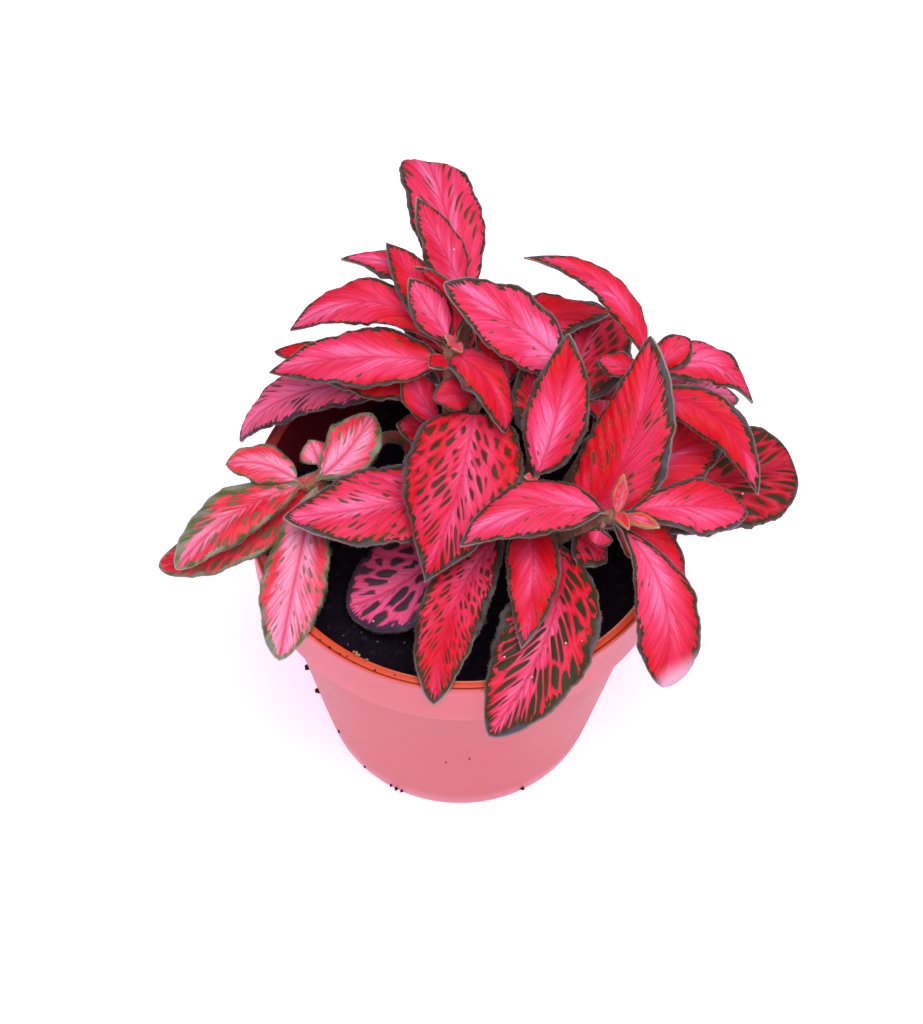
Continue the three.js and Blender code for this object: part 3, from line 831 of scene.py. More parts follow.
def stray_crumbs(pot, material):
    """Crumbs of peat left on the lip and the wall, and a few pale flecks on the soil."""
    draw = np.random.default_rng(8)
    top = pot.height / MM
    # each place is followed by the crumb's radius and how dusty it is
    places = [(x, y, top - 0.05, size, 0.05) for x, y, size in LIP_CRUMBS]
    for angle, height, size in WALL_CRUMBS:
        reach = wall_radius(pot, height * MM) / MM + 0.05
        turn = math.radians(angle)
        places.append((reach * math.cos(turn), reach * math.sin(turn), height, size, 0.1))
    places += [(x, y, SOIL_TOP / MM + 1, size, 0.42) for x, y, size in PALE_FLECKS]
    places += [(x, y, top + 0.1, size, 0.75) for x, y, size in DRY_BITS]
    points, faces, ash = [], [], []
    for x, y, z, size, dust in places:
        shape = bmesh.new()
        bmesh.ops.create_icosphere(shape, subdivisions=2, radius=1.0)
        first = len(points)
        stretch = draw.uniform((0.6, 0.6, 0.5), (1.3, 1.3, 1.3))
        for corner in shape.verts:
            out = np.array(corner.co) * stretch * size * draw.uniform(0.6, 1.25)
            points.append((x + out[0], y + out[1], z + out[2]))
            ash.append(dust)
        faces += [[first + corner.index for corner in face.verts] for face in shape.faces]
        shape.free()
    thing = new_object("stray_crumbs", np.array(points) * MM, faces)
    set_attribute(thing.data, "ash", "FLOAT", ash)
    thing.data.materials.append(material)
    return thing


class NERVEPLANT_OT_soil(bpy.types.Operator):
    """Fills the pot with crumbly soil up to just under the collar, and strays some crumbs"""

    bl_idname = "nerveplant.soil"
    bl_label = "Soil"
    bl_options = {"REGISTER", "UNDO"}

    def execute(self, context):
        soil = context.scene.nerve_plant.soil
        top = SOIL_TOP
        radius = soil_high.x
        # a bevelled foot, a wall with a round shoulder, and a flat top in rings
        profile = [(0, soil_low.z), (26 * MM, soil_low.z), (28.4 * MM, soil_low.z + 2.3 * MM)]
        profile += [(radius, top - 1.2 * MM), (radius - 0.1 * MM, top - 0.5 * MM)]
        flat = radius - 0.4 * MM
        profile += [(flat * (1 - i / SOIL_RINGS), top) for i in range(SOIL_RINGS + 1)]
        thing = lathe("potting_soil", profile, SOIL_SEGMENTS)
        mesh = thing.data
        places = places_of(mesh)
        upper = places[:, 2] > top - 0.1 * MM
        relief = SOIL_RELIEF * ripple(places[:, 0] / MM, places[:, 1] / MM, 5)
        places[:, 2] += np.where(upper, relief, 0)
        mesh.vertices.foreach_set("co", places.ravel())
        mesh.update()
        peat = peat_material(soil)
        values = {"Density": soil.crumbs, "Size": soil.crumb, "Seed": soil.seed, "Material": peat}
        run_tree(thing, crumb_tree(), values)
        thing.data.shade_smooth()
        finish_piece(thing, "potting_soil", "soil")
        finish_piece(stray_crumbs(context.scene.nerve_plant.pot, peat), "potting_soil")
        return {"FINISHED"}


# Stems and leaves


def bend(foot, knee, top, u):
    """Points of the smooth bend from foot to top, at the fractions u."""
    u = np.asarray(u, float)[..., None]
    return (1 - u) ** 2 * foot + 2 * u * (1 - u) * knee + u * u * top


def slope(foot, knee, top, u):
    """Unit directions of the same bend."""
    u = np.asarray(u, float)[..., None]
    return unit(2 * (1 - u) * (knee - foot) + 2 * u * (top - knee))


def unit(v):
    """The same directions with length one."""
    return v / np.maximum(np.linalg.norm(v, axis=-1, keepdims=True), 1e-9)


def smooth(x, low, high):
    """Rises smoothly from 0 at low to 1 at high."""
    k = np.clip((x - low) / (high - low), 0, 1)
    return k * k * (3 - 2 * k)


def stem_corners(shoot):
    """The foot, knee and top of a stem's bend."""
    corners = ((*shoot["foot"], STEM_START), shoot["knee"], shoot["top"])
    return [np.array(corner, float) for corner in corners]


def swing(run, shift, *waves):
    """The sum of waves along a leaf, each as (length in mm, start, height), all shifted."""
    return sum(high * np.sin(2 * np.pi * run / size + start + shift) for size, start, high in waves)


def leaf_course(shoot, along, tip, arch, sway):
    """The bend that a leaf follows, by its base, middle and tip, and the way to its left."""
    base = bend(*stem_corners(shoot), along)
    tip = np.array(tip, float)
    chord = tip - base
    left = np.cross((0, 0, 1.0), unit(np.array((chord[0], chord[1], 0.0))))
    lift = unit(np.cross(unit(chord), left))
    return (base, base + 0.5 * chord + 2 * arch * lift + 2 * sway * left, tip), left


def skin_faces(rows, columns):
    """The faces of a closed skin with this many points along it and around it."""
    place = np.arange(columns)
    row = np.arange(rows - 1)[:, None] * columns
    first, after = row + place, row + (place + 1) % columns
    faces = np.stack([first, after, after + columns, first + columns], -1).reshape(-1, 4)[:, ::-1].tolist()
    return faces + [list(range(columns)), [(rows - 1) * columns + j for j in range(columns - 1, -1, -1)]]


def make_leaf(shoot, leaf, index, settings):
    """One leaf as a closed skin: its points in mm, faces, point values and edge lines."""
    along, tip, width, arch, sway, roll, look, shape = leaf
    net, fresh, shade, band, pale, cell = LOOKS[look]
    shape = {**PLAIN, "bands": (band, band), "cell": cell, **shape}
    draw = np.random.default_rng([settings.seed, index, int(10 * abs(tip[0])), int(10 * tip[2])])
    course, left = leaf_course(shoot, along, tip, arch, sway)

    # rows: a few round ones along the stalk, then the blade; u runs from 0 at the stem and
    # v from 0 at the blade's base to 1 at the tip
    whole = np.linalg.norm(course[2] - course[0]) * 1.06
    stalk_share = min(shape["stalk"] / whole, 0.45)
    blade_length = whole * (1 - stalk_share)
    step = settings.step / MM
    blade_rows = max(14, int(blade_length / step))
    stalk_rows = max(3, int(shape["stalk"] / 0.7))
    v = np.r_[np.zeros(stalk_rows), np.linspace(0, 1, blade_rows + 1)]
    u = stalk_share + (1 - stalk_share) * np.linspace(0, 1, blade_rows + 1)
    u = np.r_[stalk_share * np.arange(stalk_rows) / stalk_rows, u]
    on_stalk = np.r_[1 - np.arange(stalk_rows) / stalk_rows, np.zeros(blade_rows + 1)]
    centre = bend(*course, u)
    way = slope(*course, u)
    flat = unit(left - (way @ left)[:, None] * way)
    up = np.cross(way, flat)
    turn = math.radians(roll)
    side = flat * math.cos(turn) + up * math.sin(turn)
    normal = up * math.cos(turn) - flat * math.sin(turn)
    centre = centre - normal * (shape["curl"] * np.clip((v - 0.72) / 0.28, 0, 1) ** 2)[:, None]
    run = v * whole * (1 - stalk_share)

    # outline
    power = math.log(0.5) / math.log(shape["fullest"])
    taper = shape["taper"]
    bluntness = taper + (shape.get("point", taper) - taper) * v
    full = 0.5 * width * np.sin(np.pi * np.clip(v, 0, 1) ** power) ** bluntness
    least = STALK_RADIUS + (TIP_HALF_WIDTH - STALK_RADIUS) * smooth(v, 0.1, 0.6)
    phases = draw.uniform(0, 2 * math.pi, 8)
    rise = np.gradient(full, np.maximum(run, 1e-6) + np.arange(len(run)) * 1e-6)
    lean = 1 / np.sqrt(1 + np.clip(rise, -6, 6) ** 2)[:, None]
    fullness = np.clip(full / (0.5 * width), 0, 1)[:, None]

    # columns: over the top from the right edge, where t is -1, to the left, where it is 1,
    # and back underneath; the outline has shallow uneven teeth
    across = max(8, 2 * int(width / (2 * step * 1.15)))
    t = np.linspace(-1, 1, across + 1)
    t = np.r_[t, t[-2:0:-1]][None, :]
    under = np.r_[np.full(across + 1, 0.0), np.full(across - 1, 1.0)]
    under[0] = under[across] = 0.4
    ahead = run[:, None]
    on_left = t > 0
    teeth = (9, phases[0], 0.022), (4.3, phases[1], 0.014), (1.6, phases[2], 0.007)
    half = np.maximum(full[:, None] * (1 + swing(ahead, 1.9 * on_left, *teeth)), least[:, None])
    s = half * t
    reach = np.abs(s)

    # side veins leave the midrib, lean towards the tip and open into a fan at the base;
    # q is the same all along one vein, and the two halves' veins leave the midrib in turn
    x = reach / (0.5 * width)
    spread = 0.5 * width * (2.3 * x - 0.6 * x * x)
    spacing = settings.vein_spacing / MM
    q = (ahead - shape["steep"] * spread) / (1 + 0.9 * spread / blade_length)
    q = q + 0.27 * settings.vein_spacing / MM * np.sign(t)
    valley = 0.5 - 0.5 * np.cos(2 * np.pi * (q / spacing + phases[2]))
    between = smooth(reach, 0.3, 1.8) * fullness
    quilt = QUILT_HEIGHT * between * (valley - 0.5) * (1 - 0.5 * np.abs(t) ** 4)
    groove = -GROOVE_DEPTH * np.exp(-((reach / 0.45) ** 2)) * fullness

    # the blade folds up a little, cups and waves like its solid, with finer ripples
    waves, wave_height = (2.5, 0.75) if width > 8.5 else (1.5, 0.3)
    fold = half * 0.42 * (np.abs(t) - t * t)
    phase = 2 * np.pi * (waves * v[:, None] + 0.37 * index + 0.35 * on_left)
    wave = wave_height * fullness * np.abs(t) ** 3 * np.sin(phase)
    ripples = (5.1, phases[3], 0.2), (3.3, phases[4], 0.12), (2.1, phases[5], 0.06)
    ripples = swing(ahead, 2.1 * on_left, *ripples)
    crimp = ripples * fullness * np.abs(t) ** 5 * min(1.0, width / 10)

    # thickness: round stalk, thin blade, and a rib under the midrib
    blend = smooth(v, 0.0, 0.14)[:, None]
    thick = 2 * STALK_RADIUS * (1 - blend) + settings.blade / MM * blend
    body = 0.5 * thick * np.sqrt(np.clip(1 - np.abs(t) ** (2 + 4 * blend), 0, 1))
    rib = RIB_HEIGHT * np.exp(-((reach / 0.5) ** 2)) * (1 - 0.8 * v[:, None]) * blend
    sign = np.where(under > 0.5, -1.0, 1.0)
    offset = sign * body - (sign < 0) * rib
    height = fold + wave + crimp + (quilt + groove) * blend + offset
    forward = shape["skew"] * s * smooth(v, 0.5, 1.0)[:, None]
    points = centre[:, None, :] + side[:, None, :] * s[..., None] + normal[:, None, :] * height[..., None]
    points = points + way[:, None, :] * forward[..., None]

    # what the material needs to know at each point; the last value of blade_cell is how
    # much painted glare pales the leaf there, and below zero how much painted shade darkens it
    right_band, left_band = shape["bands"]
    band_here = np.where(t < 0, right_band, left_band)
    band_here = np.minimum(band_here, 0.2 * width + 0.1) * min(1, width / 9)
    red_base, red_tip = shape["flush"]
    pink = pale - red_base * (1 - smooth(v, 0.0, 0.6)) - red_tip * smooth(v, 0.4, 1.0)
    seed = draw.uniform(0, 50)
    cell = shape["cell"]
    sideways = (reach + 0.3 * q) / cell[1] + (seed + 9.3 * np.sign(t))
    painted_glare_and_shade = shape["faded"] * smooth(v[:, None] + 0.1 * t, 0.86, 1.0) - shape["old"]
    values = {
        "blade_mm": (s, q, (half - reach) * lean / band_here),
        "blade_kind": (net, fresh, shade),
        "blade_more": (np.abs(t), seed, under),
        "blade_place": (v[:, None], on_stalk[:, None], pink[:, None]),
        "blade_cell": (q / cell[0] + 3 * seed, sideways, painted_glare_and_shade),
    }
    for name, layer in values.items():
        layer = [np.broadcast_to(value, s.shape) for value in layer]
        values[name] = np.stack(layer, -1).reshape(-1, 3)
    fringe = []
    for column, way_out in ((0, -1.0), (across, 1.0)):
        ways = side * way_out + 0.45 * way
        fringe.append((points[stalk_rows + 1 :, column], ways[stalk_rows + 1 :]))
    return points.reshape(-1, 3), skin_faces(*s.shape), values, fringe


def make_foliage(name, shoot, settings):
    """All leaves of one shoot as one mesh, and the lines of their edges as another."""
    points, faces, lines, line_ends, outward = [], [], [], [], []
    values = {}
    count = 0
    line_count = 0
    for index, leaf in enumerate(shoot["leaves"]):
        skin, corner_lists, skin_values, fringe = make_leaf(shoot, leaf, index, settings)
        points.append(skin)
        faces += [[corner + count for corner in face] for face in corner_lists]
        count += len(skin)
        for key, value in skin_values.items():
            values.setdefault(key, []).append(value)
        for places, ways in fringe:
            lines.append(places)
            outward.append(unit(ways))
            line_ends += [(line_count + i, line_count + i + 1) for i in range(len(places) - 1)]
            line_count += len(places)
    foliage = new_object(f"{name}_leaves", np.concatenate(points) * MM, faces)
    for key, value in values.items():
        set_attribute(foliage.data, key, "FLOAT_VECTOR", np.concatenate(value))
    edges = new_object(f"{name}_fringe", np.concatenate(lines) * MM, [], line_ends)
    set_attribute(edges.data, "outward", "FLOAT_VECTOR", np.concatenate(outward))
    return foliage, edges


def leaf_noises(node, s, q, seed):
    """Noises that are stretched along the side veins: broad patches, fine streaks, the
    wobble of the veins, and the teeth, bays and clouds of the dark band."""
    noises = []
    # each has its size along the midrib and across it in mm, a lift that keeps it apart
    # from the others, and its detail
    for run, wide, lift, detail in (
        (16, 7, 0, 1.0),
        (0.9, 3.6, 3, 2.0),
        (9, 3, 9, 0.0),
        (0.85, 1.0, 7, 1.0),
        (7, 9, 8, 0.0),
        (3, 5, 2, 2.0),
    ):
        parts = node(OVER, q, run), node(OVER, s, wide), node(PLUS, seed, lift)
        noises.append(node(NOISE, node("ShaderNodeCombineXYZ", *parts), 1.0, detail))
    return noises


def leaf_cells(node, cell_place, net, reach, along, spread):
    """Cells of uneven size between the veins, with none along the midrib: how far a point
    is from the net between them, how deep it lies in its own cell, and how dark it is."""
    wander = node(NOISE, {"Vector": cell_place, "Scale": 1.4, "Detail": 1.0}, noise_dimensions="2D")
    moved = (wander.outputs["Color"], (0.4, 0.4, 0.0), cell_place)
    moved = node("ShaderNodeVectorMath", *moved, operation="MULTIPLY_ADD")
    cells = {"Vector": moved, "Scale": 1.0, "Randomness": 0.75}
    border = node(CELLS, cells, voronoi_dimensions="2D", feature="DISTANCE_TO_EDGE")
    owner = node(CELLS, cells, voronoi_dimensions="2D")
    own, tint, _ = node(SPLIT, owner.outputs["Color"]).outputs
    limit = node(TIMES_PLUS, net, -0.24, 0.48)
    strip = node(EASE, net, 1.0, 1.3, 0.3, 0.22)
    for rise in (
        (own, 0.0, 1.0, -0.1, 0.1),
        (reach, 0.5, 1.5, strip, 0.0),
        (along, 0.0, 0.16, 0.2, 0.0),
    ):
        limit = node(PLUS, limit, node(EASE, *rise))
    room = node(MINUS, border, limit)
    round_off = node(MINUS, node(TIMES_PLUS, net, 0.3, 0.14), owner)
    depth = node("ShaderNodeMath", room, round_off, 0.08, operation="SMOOTH_MIN")
    island = node(EASE, depth, -0.05, 0.05)
    faint = node(EASE, net, 1.0, 1.25, 0.85, 1.0)
    thin = node(EASE, net, 0.9, 1.2, 0.75, 1.0)
    for fade in ((tint, 0.0, 0.25, faint, 1.0), (spread, 0.6, 0.95, 1.0, thin)):
        island = node(TIMES, island, node(EASE, *fade))
    return border, depth, island


def leaf_material(look):
    """A soft leaf with short hairs: red and pink with dark cells between its veins, a dark
    band along its edge with a ragged inner side, and a dull velvety shine."""
    material, node, shader, place = new_material("Leaf, fleshy, softly haired")
    # what each point knows of its leaf: s is how far it lies from the midrib and q where its
    # side vein leaves the midrib, both in mm, and edge how deep it lies in the dark band
    layers = ("blade_mm", "blade_kind", "blade_more", "blade_place", "blade_cell")
    layers = [node(LAYER, attribute_name=name).outputs["Vector"] for name in layers]
    (s, q, edge), (net, fresh, shade), (spread, seed, under), (along, stalk, pale), (_, _, painted_glare_and_shade) = (
        node(SPLIT, layer).outputs for layer in layers
    )
    cell_place = layers[-1]
    reach = node("ShaderNodeMath", s, operation="ABSOLUTE")

    broad, streak, wobble, teeth, bays, cloudy = leaf_noises(node, s, q, seed)

    # red to pink: pinker towards the midrib, in broad patches and fine faint streaks
    inner = node(MINUS, 1.0, spread)
    pinkness = node(TIMES_PLUS, inner, 0.5, node(TIMES, pale, 0.6))
    for noise, most in ((broad, 0.28), (streak, 0.11)):
        pinkness = node(PLUS, node(EASE, noise, 0.3, 0.7, -most, most), pinkness)
    base = node(MIX, node(EASE, pinkness, 0.08, 1.1), look.red, look.pink)
    # what lies over that in turn, as how much of it and its colour
    coats = []

    # the heart is pale in streaks, and a young leaf is coral away from it
    light = node(MIX, node(TIMES, fresh, 0.7), "#FC8ABE", look.pale)
    heart = node(TIMES_PLUS, spread, -0.5, pinkness)
    heart = node(EASE, node(TIMES_PLUS, fresh, 0.35, heart), 0.5, 1.15)
    heart = node(TIMES, heart, node(EASE, streak, 0.32, 0.62, 0.62, 0.95))
    heart = node(TIMES, heart, node(EASE, reach, 0.0, 1.2, 0.45, 1.0))
    outer = node(TIMES_PLUS, pale, -0.3, spread)
    coral = node(TIMES, fresh, node(EASE, outer, 0.2, 0.75, 0.1, 0.7))
    # painted shade: leaves in the depth of the plant with a shade value are duller and more
    # purple, and those with an old value are darkened to deep red
    dusky = node(MIX, node(EASE, shade, 0.65, 0.95), "#FF80B0", "#FF5A92")
    old = node(TIMES, painted_glare_and_shade, -1.0)
    coats += [(heart, light), (coral, "#F2525E"), (node(TIMES, shade, 0.75), dusky)]
    coats.append((old, "#AE162A"))

    # the side veins and the midrib are fine lines of deeper red
    vein = node(OVER, q, look.vein_spacing / MM)
    vein = node("ShaderNodeMath", node(TIMES_PLUS, wobble, 1.1, vein), operation="FRACT")
    away = node("ShaderNodeMath", node(MINUS, vein, 0.5), operation="ABSOLUTE")
    away = node(MINUS, 0.5, away)
    vein = node(TIMES, node(EASE, away, 0.085, 0.015), node(EASE, reach, 0.2, 1.0))
    line = node(LARGER, vein, node(EASE, reach, 0.4, 0.1))
    coats.append((node(TIMES, line, 0.46), "#BE0C2C"))

    # the cells are dark, with a ring round each and bright lines of the net between them
    border, depth, island = leaf_cells(node, cell_place, net, reach, along, spread)
    net_line = node(TIMES, node(EASE, border, 0.14, 0.02), node(EASE, reach, 0.4, 1.6))
    net_line = node(TIMES, net_line, node(EASE, net, 0.2, 1.2, 0.04, 0.3))
    # in painted shade the net, the rings and the cells turn purple
    net_colour = node(MIX, shade, "#F23C5C", "#E8478F")
    ring = node(MIX, node(EASE, net, 0.45, 0.95), "#A8603A", "#8E0A1E")
    ring = node(MIX, shade, ring, "#8A2454")
    halo = node(EASE, depth, -0.13, 0.0)
    halo = node(TIMES, halo, node(EASE, net, 1.0, 1.25, 1.0, 0.5))
    halo = node(TIMES, halo, node(EASE, net, 0.2, 0.9, 0.32, 0.55))
    dark = node(MIX, fresh, look.olive, "#686A48")
    dark = node(MIX, shade, dark, "#46323F")
    filled = node(TIMES, island, node(EASE, net, 0.5, 1.25, 0.8, 1.0))
    coats += [(net_line, net_colour), (halo, ring), (filled, dark)]

    # the band along the edge, with fine teeth that point inwards along the veins
    tooth = node(EASE, teeth, 0.3, 0.7, -0.7, 0.35)
    tooth = node(PLUS, tooth, node(EASE, bays, 0.3, 0.7, -0.3, 0.3))
    margin = node(EASE, node(PLUS, edge, tooth), 1.06, 0.94)
    margin = node(LARGER, margin, node(EASE, edge, 0.55, 0.4))
    inwards = node(TIMES_PLUS, cloudy, 1.4, edge)
    inwards = node(PLUS, inwards, node(EASE, bays, 0.3, 0.7, -0.35, 0.35))
    band = node(MIX, node(EASE, inwards, 0.95, 1.5), look.margin, "#40361C")
    # in painted shade the band turns purple
    band = node(MIX, shade, band, "#4A3550")
    # the youngest leaves of all, in the buds, have ochre edges
    young = node(MIX, node(EASE, cloudy, 0.35, 0.65), look.fresh, "#8C927C")
    young = node(MIX, node(EASE, fresh, 1.1, 1.5), young, "#B4854C")
    # the outermost line is paler, and painted glare pales a tip and hides its band
    rim = node(TIMES, node(EASE, edge, 0.3, 0.1), node(EASE, net, 0.7, 1.2, 0.85, 0.35))
    rim_colour = node(MIX, fresh, "#B8A29E", "#CFC8B4")
    coats += [(margin, node(MIX, fresh, band, young)), (rim, rim_colour)]
    coats.append((painted_glare_and_shade, "#F0B4CC"))

    # the underside is dull, with paler ribs
    below = node(MIX, node(EASE, reach, 0.7, 0.2), look.under, "#C9857A")
    below = node(MIX, node(TIMES, margin, 0.7), below, "#6F6B52")
    coats += [(node(TIMES, under, 0.92), below), (node(EASE, stalk, 0.0, 0.35), look.stem)]

    # a few white specks of dust, about 0.3 mm across, in some of the cells of 3 mm
    dust = node(CELLS, place, scale(3.03))
    rare = node(SPLIT, dust.outputs["Color"])
    rare = node(EXCEEDS, rare, node(EASE, net, 0.9, 1.3, 0.96, 0.6))
    speck = node(TIMES, node(EASE, dust, 0.09, 0.05), rare)
    coats.append((node(TIMES, speck, 0.8), "#F2E6EA"))
    for much, coat in coats:
        base = node(MIX, much, base, coat)

    # the cells swell a little between the veins, over a grain of about 0.4 mm
    grain = node(NOISE, place, scale(0.3846), 2.0)
    swell = node(TIMES_PLUS, node(EASE, away, 0.0, 0.4), 0.5, node(TIMES, grain, 0.35))
    swell = node(TIMES_PLUS, island, 0.25, swell)
    finish = {
        "Base Color": base,
        "Roughness": node(EASE, grain, 0.3, 0.7, 0.48, 0.62),
        "Normal": node(BUMP, {"Strength": 0.65, "Distance": 0.2 * MM, "Height": swell}),
        "IOR": 1.42,
        "Specular IOR Level": 0.22,
        "Sheen Weight": 0.03,
        "Sheen Roughness": 0.4,
        "Sheen Tint": (1.0, 0.86, 0.93, 1.0),
        "Subsurface Weight": 0.12,
        "Subsurface Radius": (1.0, 0.25, 0.3),
        "Subsurface Scale": 0.8 * MM,
    }
    fill(shader, finish)
    return material


def stem_material(name, flesh, lines):
    """A soft young stem, striped along its length with lines of a second colour."""
    material, node, shader, place = new_material(name)
    # the stripes are about 0.8 mm apart
    narrow = node("ShaderNodeMapping", {"Vector": place, "Scale": (1.0, 1.0, 0.14)})
    stripes = node(NOISE, narrow, scale(0.769), 2.0)
    finish = {
        "Base Color": node(MIX, node(RAMP, stripes, 0.4, 0.62), flesh, lines),
        "Normal": node(BUMP, {"Strength": 0.4, "Distance": 0.15 * MM, "Height": stripes}),
        "Roughness": 0.55,
        "IOR": 1.42,
        "Sheen Weight": 0.15,
        "Sheen Roughness": 0.5,
        "Subsurface Weight": 0.1,
        "Subsurface Scale": 0.8 * MM,
    }
    fill(shader, finish)
    return material


def hair_material():
    """Plant hairs: nearly clear, seen as a pale soft fringe."""
    material, node, shader, place = new_material("Plant hair, pale")
    # tint differs in patches of about 8 mm
    tint = node(NOISE, place, scale(8.33), 1.0)
    mixed = node(MIX, tint, "#8A7C80", "#A8978A")
    fill(shader, {"Base Color": mixed, "Roughness": 0.6, "IOR": 1.45})
    return material


def hair_cone(node, points, direction, start):
    """Stands a thin three-sided hair on each point, along a direction with a random lean."""
    seed = start["Seed"]
    lean = {"Min": (-0.55, -0.55, -0.55), "Max": (0.55, 0.55, 0.55), "Seed": seed}
    way = (direction, node(RANDOM, lean))
    way = node("ShaderNodeVectorMath", *way, operation="ADD")
    size = {"Vertices": 3, "Radius Top": 0.0, "Radius Bottom": start["Thickness"]}
    size["Depth"] = start["Length"]
    # the inputs 2 and 3 of a single random number are its least and its most
    copies = {
        "Points": points,
        "Instance": node("GeometryNodeMeshCone", size, fill_type="NGON"),
        "Rotation": node("FunctionNodeAlignRotationToVector", {"Vector": way}, axis="Z"),
        "Scale": node(RANDOM, {2: 0.45, 3: 1.35, "Seed": seed}, data_type="FLOAT"),
    }
    hairs = node("GeometryNodeInstanceOnPoints", copies)
    solid = {"Geometry": node("GeometryNodeRealizeInstances", hairs), "Material": start["Hair"]}
    return node("GeometryNodeSetMaterial", solid)


HAIR_INPUTS = {
    "Spacing": "Float",
    "Length": "Float",
    "Thickness": "Float",
    "Seed": "Int",
    "Hair": "Material",
}


def fringe_tree():
    """Turns the lines of leaf edges into rows of hairs that point outwards."""
    tree, node, start, end = new_tree("leaf edge hairs", HAIR_INPUTS)
    curve = node("GeometryNodeMeshToCurve", start["Geometry"])
    even = {"Curve": curve, "Length": start["Spacing"]}
    even = node("GeometryNodeResampleCurve", even, mode="LENGTH")
    outward = node("GeometryNodeInputNamedAttribute", "outward", data_type="FLOAT_VECTOR")
    fill(end, hair_cone(node, even, outward, start))
    return tree


def stem_tree():
    """Sweeps a round stem along its line, swollen where the leaves leave it, and adds hairs."""
    tree, node, start, end = new_tree("stem", {**HAIR_INPUTS, "Stem": "Material"})
    curve = node("GeometryNodeMeshToCurve", start["Geometry"])
    radius = node("GeometryNodeInputNamedAttribute", "thickness", data_type="FLOAT")
    sized = node("GeometryNodeSetCurveRadius", {"Curve": curve, "Radius": radius})
    ring = node("GeometryNodeCurvePrimitiveCircle", {"Resolution": 16, "Radius": 1.0})
    sweep = {"Curve": sized, "Profile Curve": ring, "Scale": radius, "Fill Caps": True}
    skin = node("GeometryNodeCurveToMesh", sweep)
    # 0.6 hairs stand on a patch as wide as their spacing and as long as they are
    density = node(OVER, node(OVER, 0.6, start["Spacing"]), start["Length"])
    places = {"Mesh": skin, "Density": density, "Seed": start["Seed"]}
    points = node("GeometryNodeDistributePointsOnFaces", places)
    fuzz = hair_cone(node, points, points.outputs["Normal"], start)
    stems = node("GeometryNodeSetMaterial", {"Geometry": skin, "Material": start["Stem"]})
    both = node("GeometryNodeJoinGeometry")
    for part in (node("GeometryNodeSetShadeSmooth", stems), fuzz):
        fill(both, part)
    fill(end, both)
    return tree


def stem_line(name, shoot):
    """The line of one stem, from inside the soil to its top, with its thickness."""
    foot, knee, top = stem_corners(shoot)
    u = np.linspace(0, 1, 60)
    low = foot - np.array((0, 0, STEM_DEPTH))
    places = np.concatenate([low[None], low[None] * 0.5 + foot[None] * 0.5, bend(foot, knee, top, u)])
    thickness = STEM_FOOT + (STEM_TIP - STEM_FOOT) * u
    # every leaf's joint swells the stem a little, and the top narrows to an end
    for leaf in shoot["leaves"]:
        thickness = thickness + JOINT_SWELL * np.exp(-(((u - leaf[0]) / 0.022) ** 2))
    thickness = np.minimum(thickness, STEM_LARGEST) * (1 - 0.45 * smooth(u, 0.97, 1.0))
    thickness = np.r_[STEM_FOOT, STEM_FOOT, thickness]
    lines = [(i, i + 1) for i in range(len(places) - 1)]
    thing = new_object(f"{name}_stem", places * MM, [], lines)
    set_attribute(thing.data, "thickness", "FLOAT", thickness * MM)
    return thing


class NERVEPLANT_OT_shoots(bpy.types.Operator):
    """Grows every shoot: its stem, its waved netted leaves and their soft hairs"""

    bl_idname = "nerveplant.shoots"
    bl_label = "Leafy stems"
    bl_options = {"REGISTER", "UNDO"}

    def execute(self, context):
        look = context.scene.nerve_plant.leaf
        leaf_skin = leaf_material(look)
        values = {
            "Spacing": look.hair_spacing,
            "Length": look.hair,
            "Thickness": HAIR_THICKNESS,
            "Seed": look.seed,
            "Hair": hair_material(),
        }
        old = stem_material("Stem, soft, haired, reddish brown", look.stem, "#6E6238")
        young = stem_material("Stem, soft, haired, red and green", "#D23C48", look.fresh)
        edge_hairs = fringe_tree()
        stems = stem_tree()
        for name, shoot in SHOOTS.items():
            foliage, fringe = make_foliage(name, shoot, look)
            foliage.data.materials.append(leaf_skin)
            run_tree(fringe, edge_hairs, values)
            stem = stem_line(name, shoot)
            run_tree(stem, stems, {**values, "Stem": young if name == "shoot_left_low" else old})
            for piece in (foliage, fringe, stem):
                finish_piece(piece, "leaf", name)
        return {"FINISHED"}


# Stage


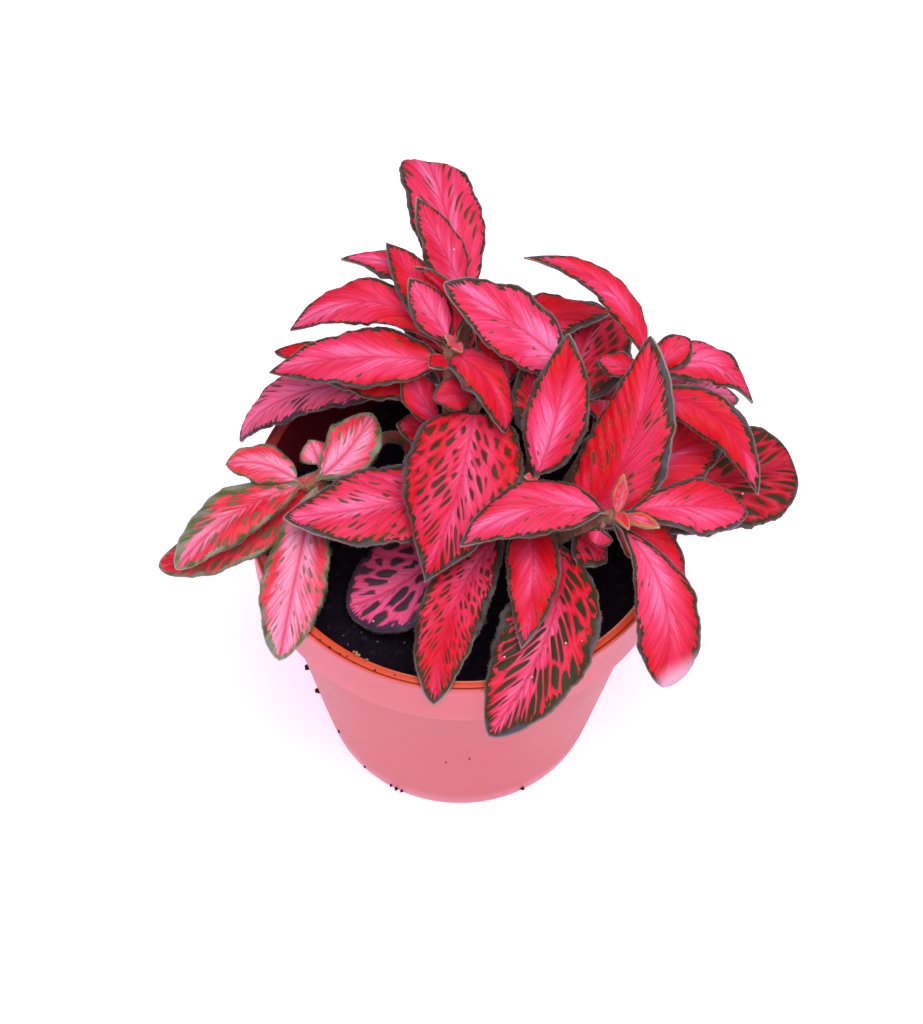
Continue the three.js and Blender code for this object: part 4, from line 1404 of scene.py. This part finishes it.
class NERVEPLANT_OT_stage(bpy.types.Operator):
    """Sets the pale floor, the soft studio light and the camera at the photograph's angle"""

    bl_idname = "nerveplant.stage"
    bl_label = "Floor, light and camera"
    bl_options = {"REGISTER", "UNDO"}

    def execute(self, context):
        scene = context.scene
        stage = scene.nerve_plant.stage
        side = FLOOR_HALF_SIDE
        corners = [(-side, -side, 0), (side, -side, 0), (side, side, 0), (-side, side, 0)]
        floor = new_object("floor", corners, [(0, 1, 2, 3)])
        paper, _, shader, _ = new_material("Paper, white, matt, lit from behind")
        # paper is even, matt and white, and its glow hides where the floor ends
        finish = {
            "Base Color": stage.floor,
            "Roughness": 0.95,
            "Emission Color": "#E9D8F6",
            "Emission Strength": stage.glow,
        }
        fill(shader, finish)
        floor.data.materials.append(paper)

        world = bpy.data.worlds.new("studio")
        world.use_nodes = True
        sky = world.node_tree.nodes["Background"]
        fill(sky, {"Color": "#F6F0FF", "Strength": stage.sky})
        scene.world = world
        for name, width, place, tone in LAMPS:
            data = bpy.data.lights.new(name, "AREA")
            data.energy = getattr(stage, name)
            data.size = width
            data.color = linear(tone)[:3]
            lamp = bpy.data.objects.new(name, data)
            lamp.location = place
            lamp.rotation_euler = (CAMERA_TARGET - Vector(place)).to_track_quat("-Z", "Y").to_euler()
            context.collection.objects.link(lamp)

        data = bpy.data.cameras.new("camera")
        data.lens = CAMERA_LENS
        data.sensor_width = SENSOR_WIDTH
        data.clip_start = 0.01
        camera = bpy.data.objects.new("camera", data)
        tilt = math.radians(CAMERA_ELEVATION)
        back = Vector((0, -math.cos(tilt), math.sin(tilt)))
        camera.location = CAMERA_TARGET + back * CAMERA_DISTANCE
        roll = Quaternion((0, 0, 1), math.radians(CAMERA_ROLL))
        camera.rotation_euler = ((-back).to_track_quat("-Z", "Y") @ roll).to_euler()
        context.collection.objects.link(camera)
        scene.camera = camera
        scene.view_settings.view_transform = "Standard"
        return {"FINISHED"}


# Panel


class NERVEPLANT_PT_panel(bpy.types.Panel):
    """Lists the pieces of the plant and their settings"""

    bl_idname = "NERVEPLANT_PT_panel"
    bl_label = "Nerve plant"
    bl_space_type = "VIEW_3D"
    bl_region_type = "UI"
    bl_category = "Nerve plant"

    def draw(self, context):
        plant = context.scene.nerve_plant
        groups = (
            (NERVEPLANT_OT_pot, plant.pot),
            (NERVEPLANT_OT_soil, plant.soil),
            (NERVEPLANT_OT_shoots, plant.leaf),
            (NERVEPLANT_OT_stage, plant.stage),
        )
        for operator, settings in groups:
            box = self.layout.box()
            box.operator(operator.bl_idname)
            for name in settings.__annotations__:
                box.prop(settings, name)


CLASSES = (
    PotSettings,
    SoilSettings,
    LeafSettings,
    StageSettings,
    PlantSettings,
    NERVEPLANT_OT_pot,
    NERVEPLANT_OT_soil,
    NERVEPLANT_OT_shoots,
    NERVEPLANT_OT_stage,
    NERVEPLANT_PT_panel,
)


def register():
    """Registers the classes and puts the settings on the scene."""
    for cls in CLASSES:
        bpy.utils.register_class(cls)
    bpy.types.Scene.nerve_plant = PointerProperty(type=PlantSettings)


def unregister():
    """Takes the settings and the classes away again."""
    del bpy.types.Scene.nerve_plant
    for cls in reversed(CLASSES):
        bpy.utils.unregister_class(cls)


def main():
    """Builds the plant, its pot and the stage."""
    register()
    bpy.ops.nerveplant.pot()
    bpy.ops.nerveplant.soil()
    bpy.ops.nerveplant.shoots()
    bpy.ops.nerveplant.stage()


if __name__ == "__main__":
    main()
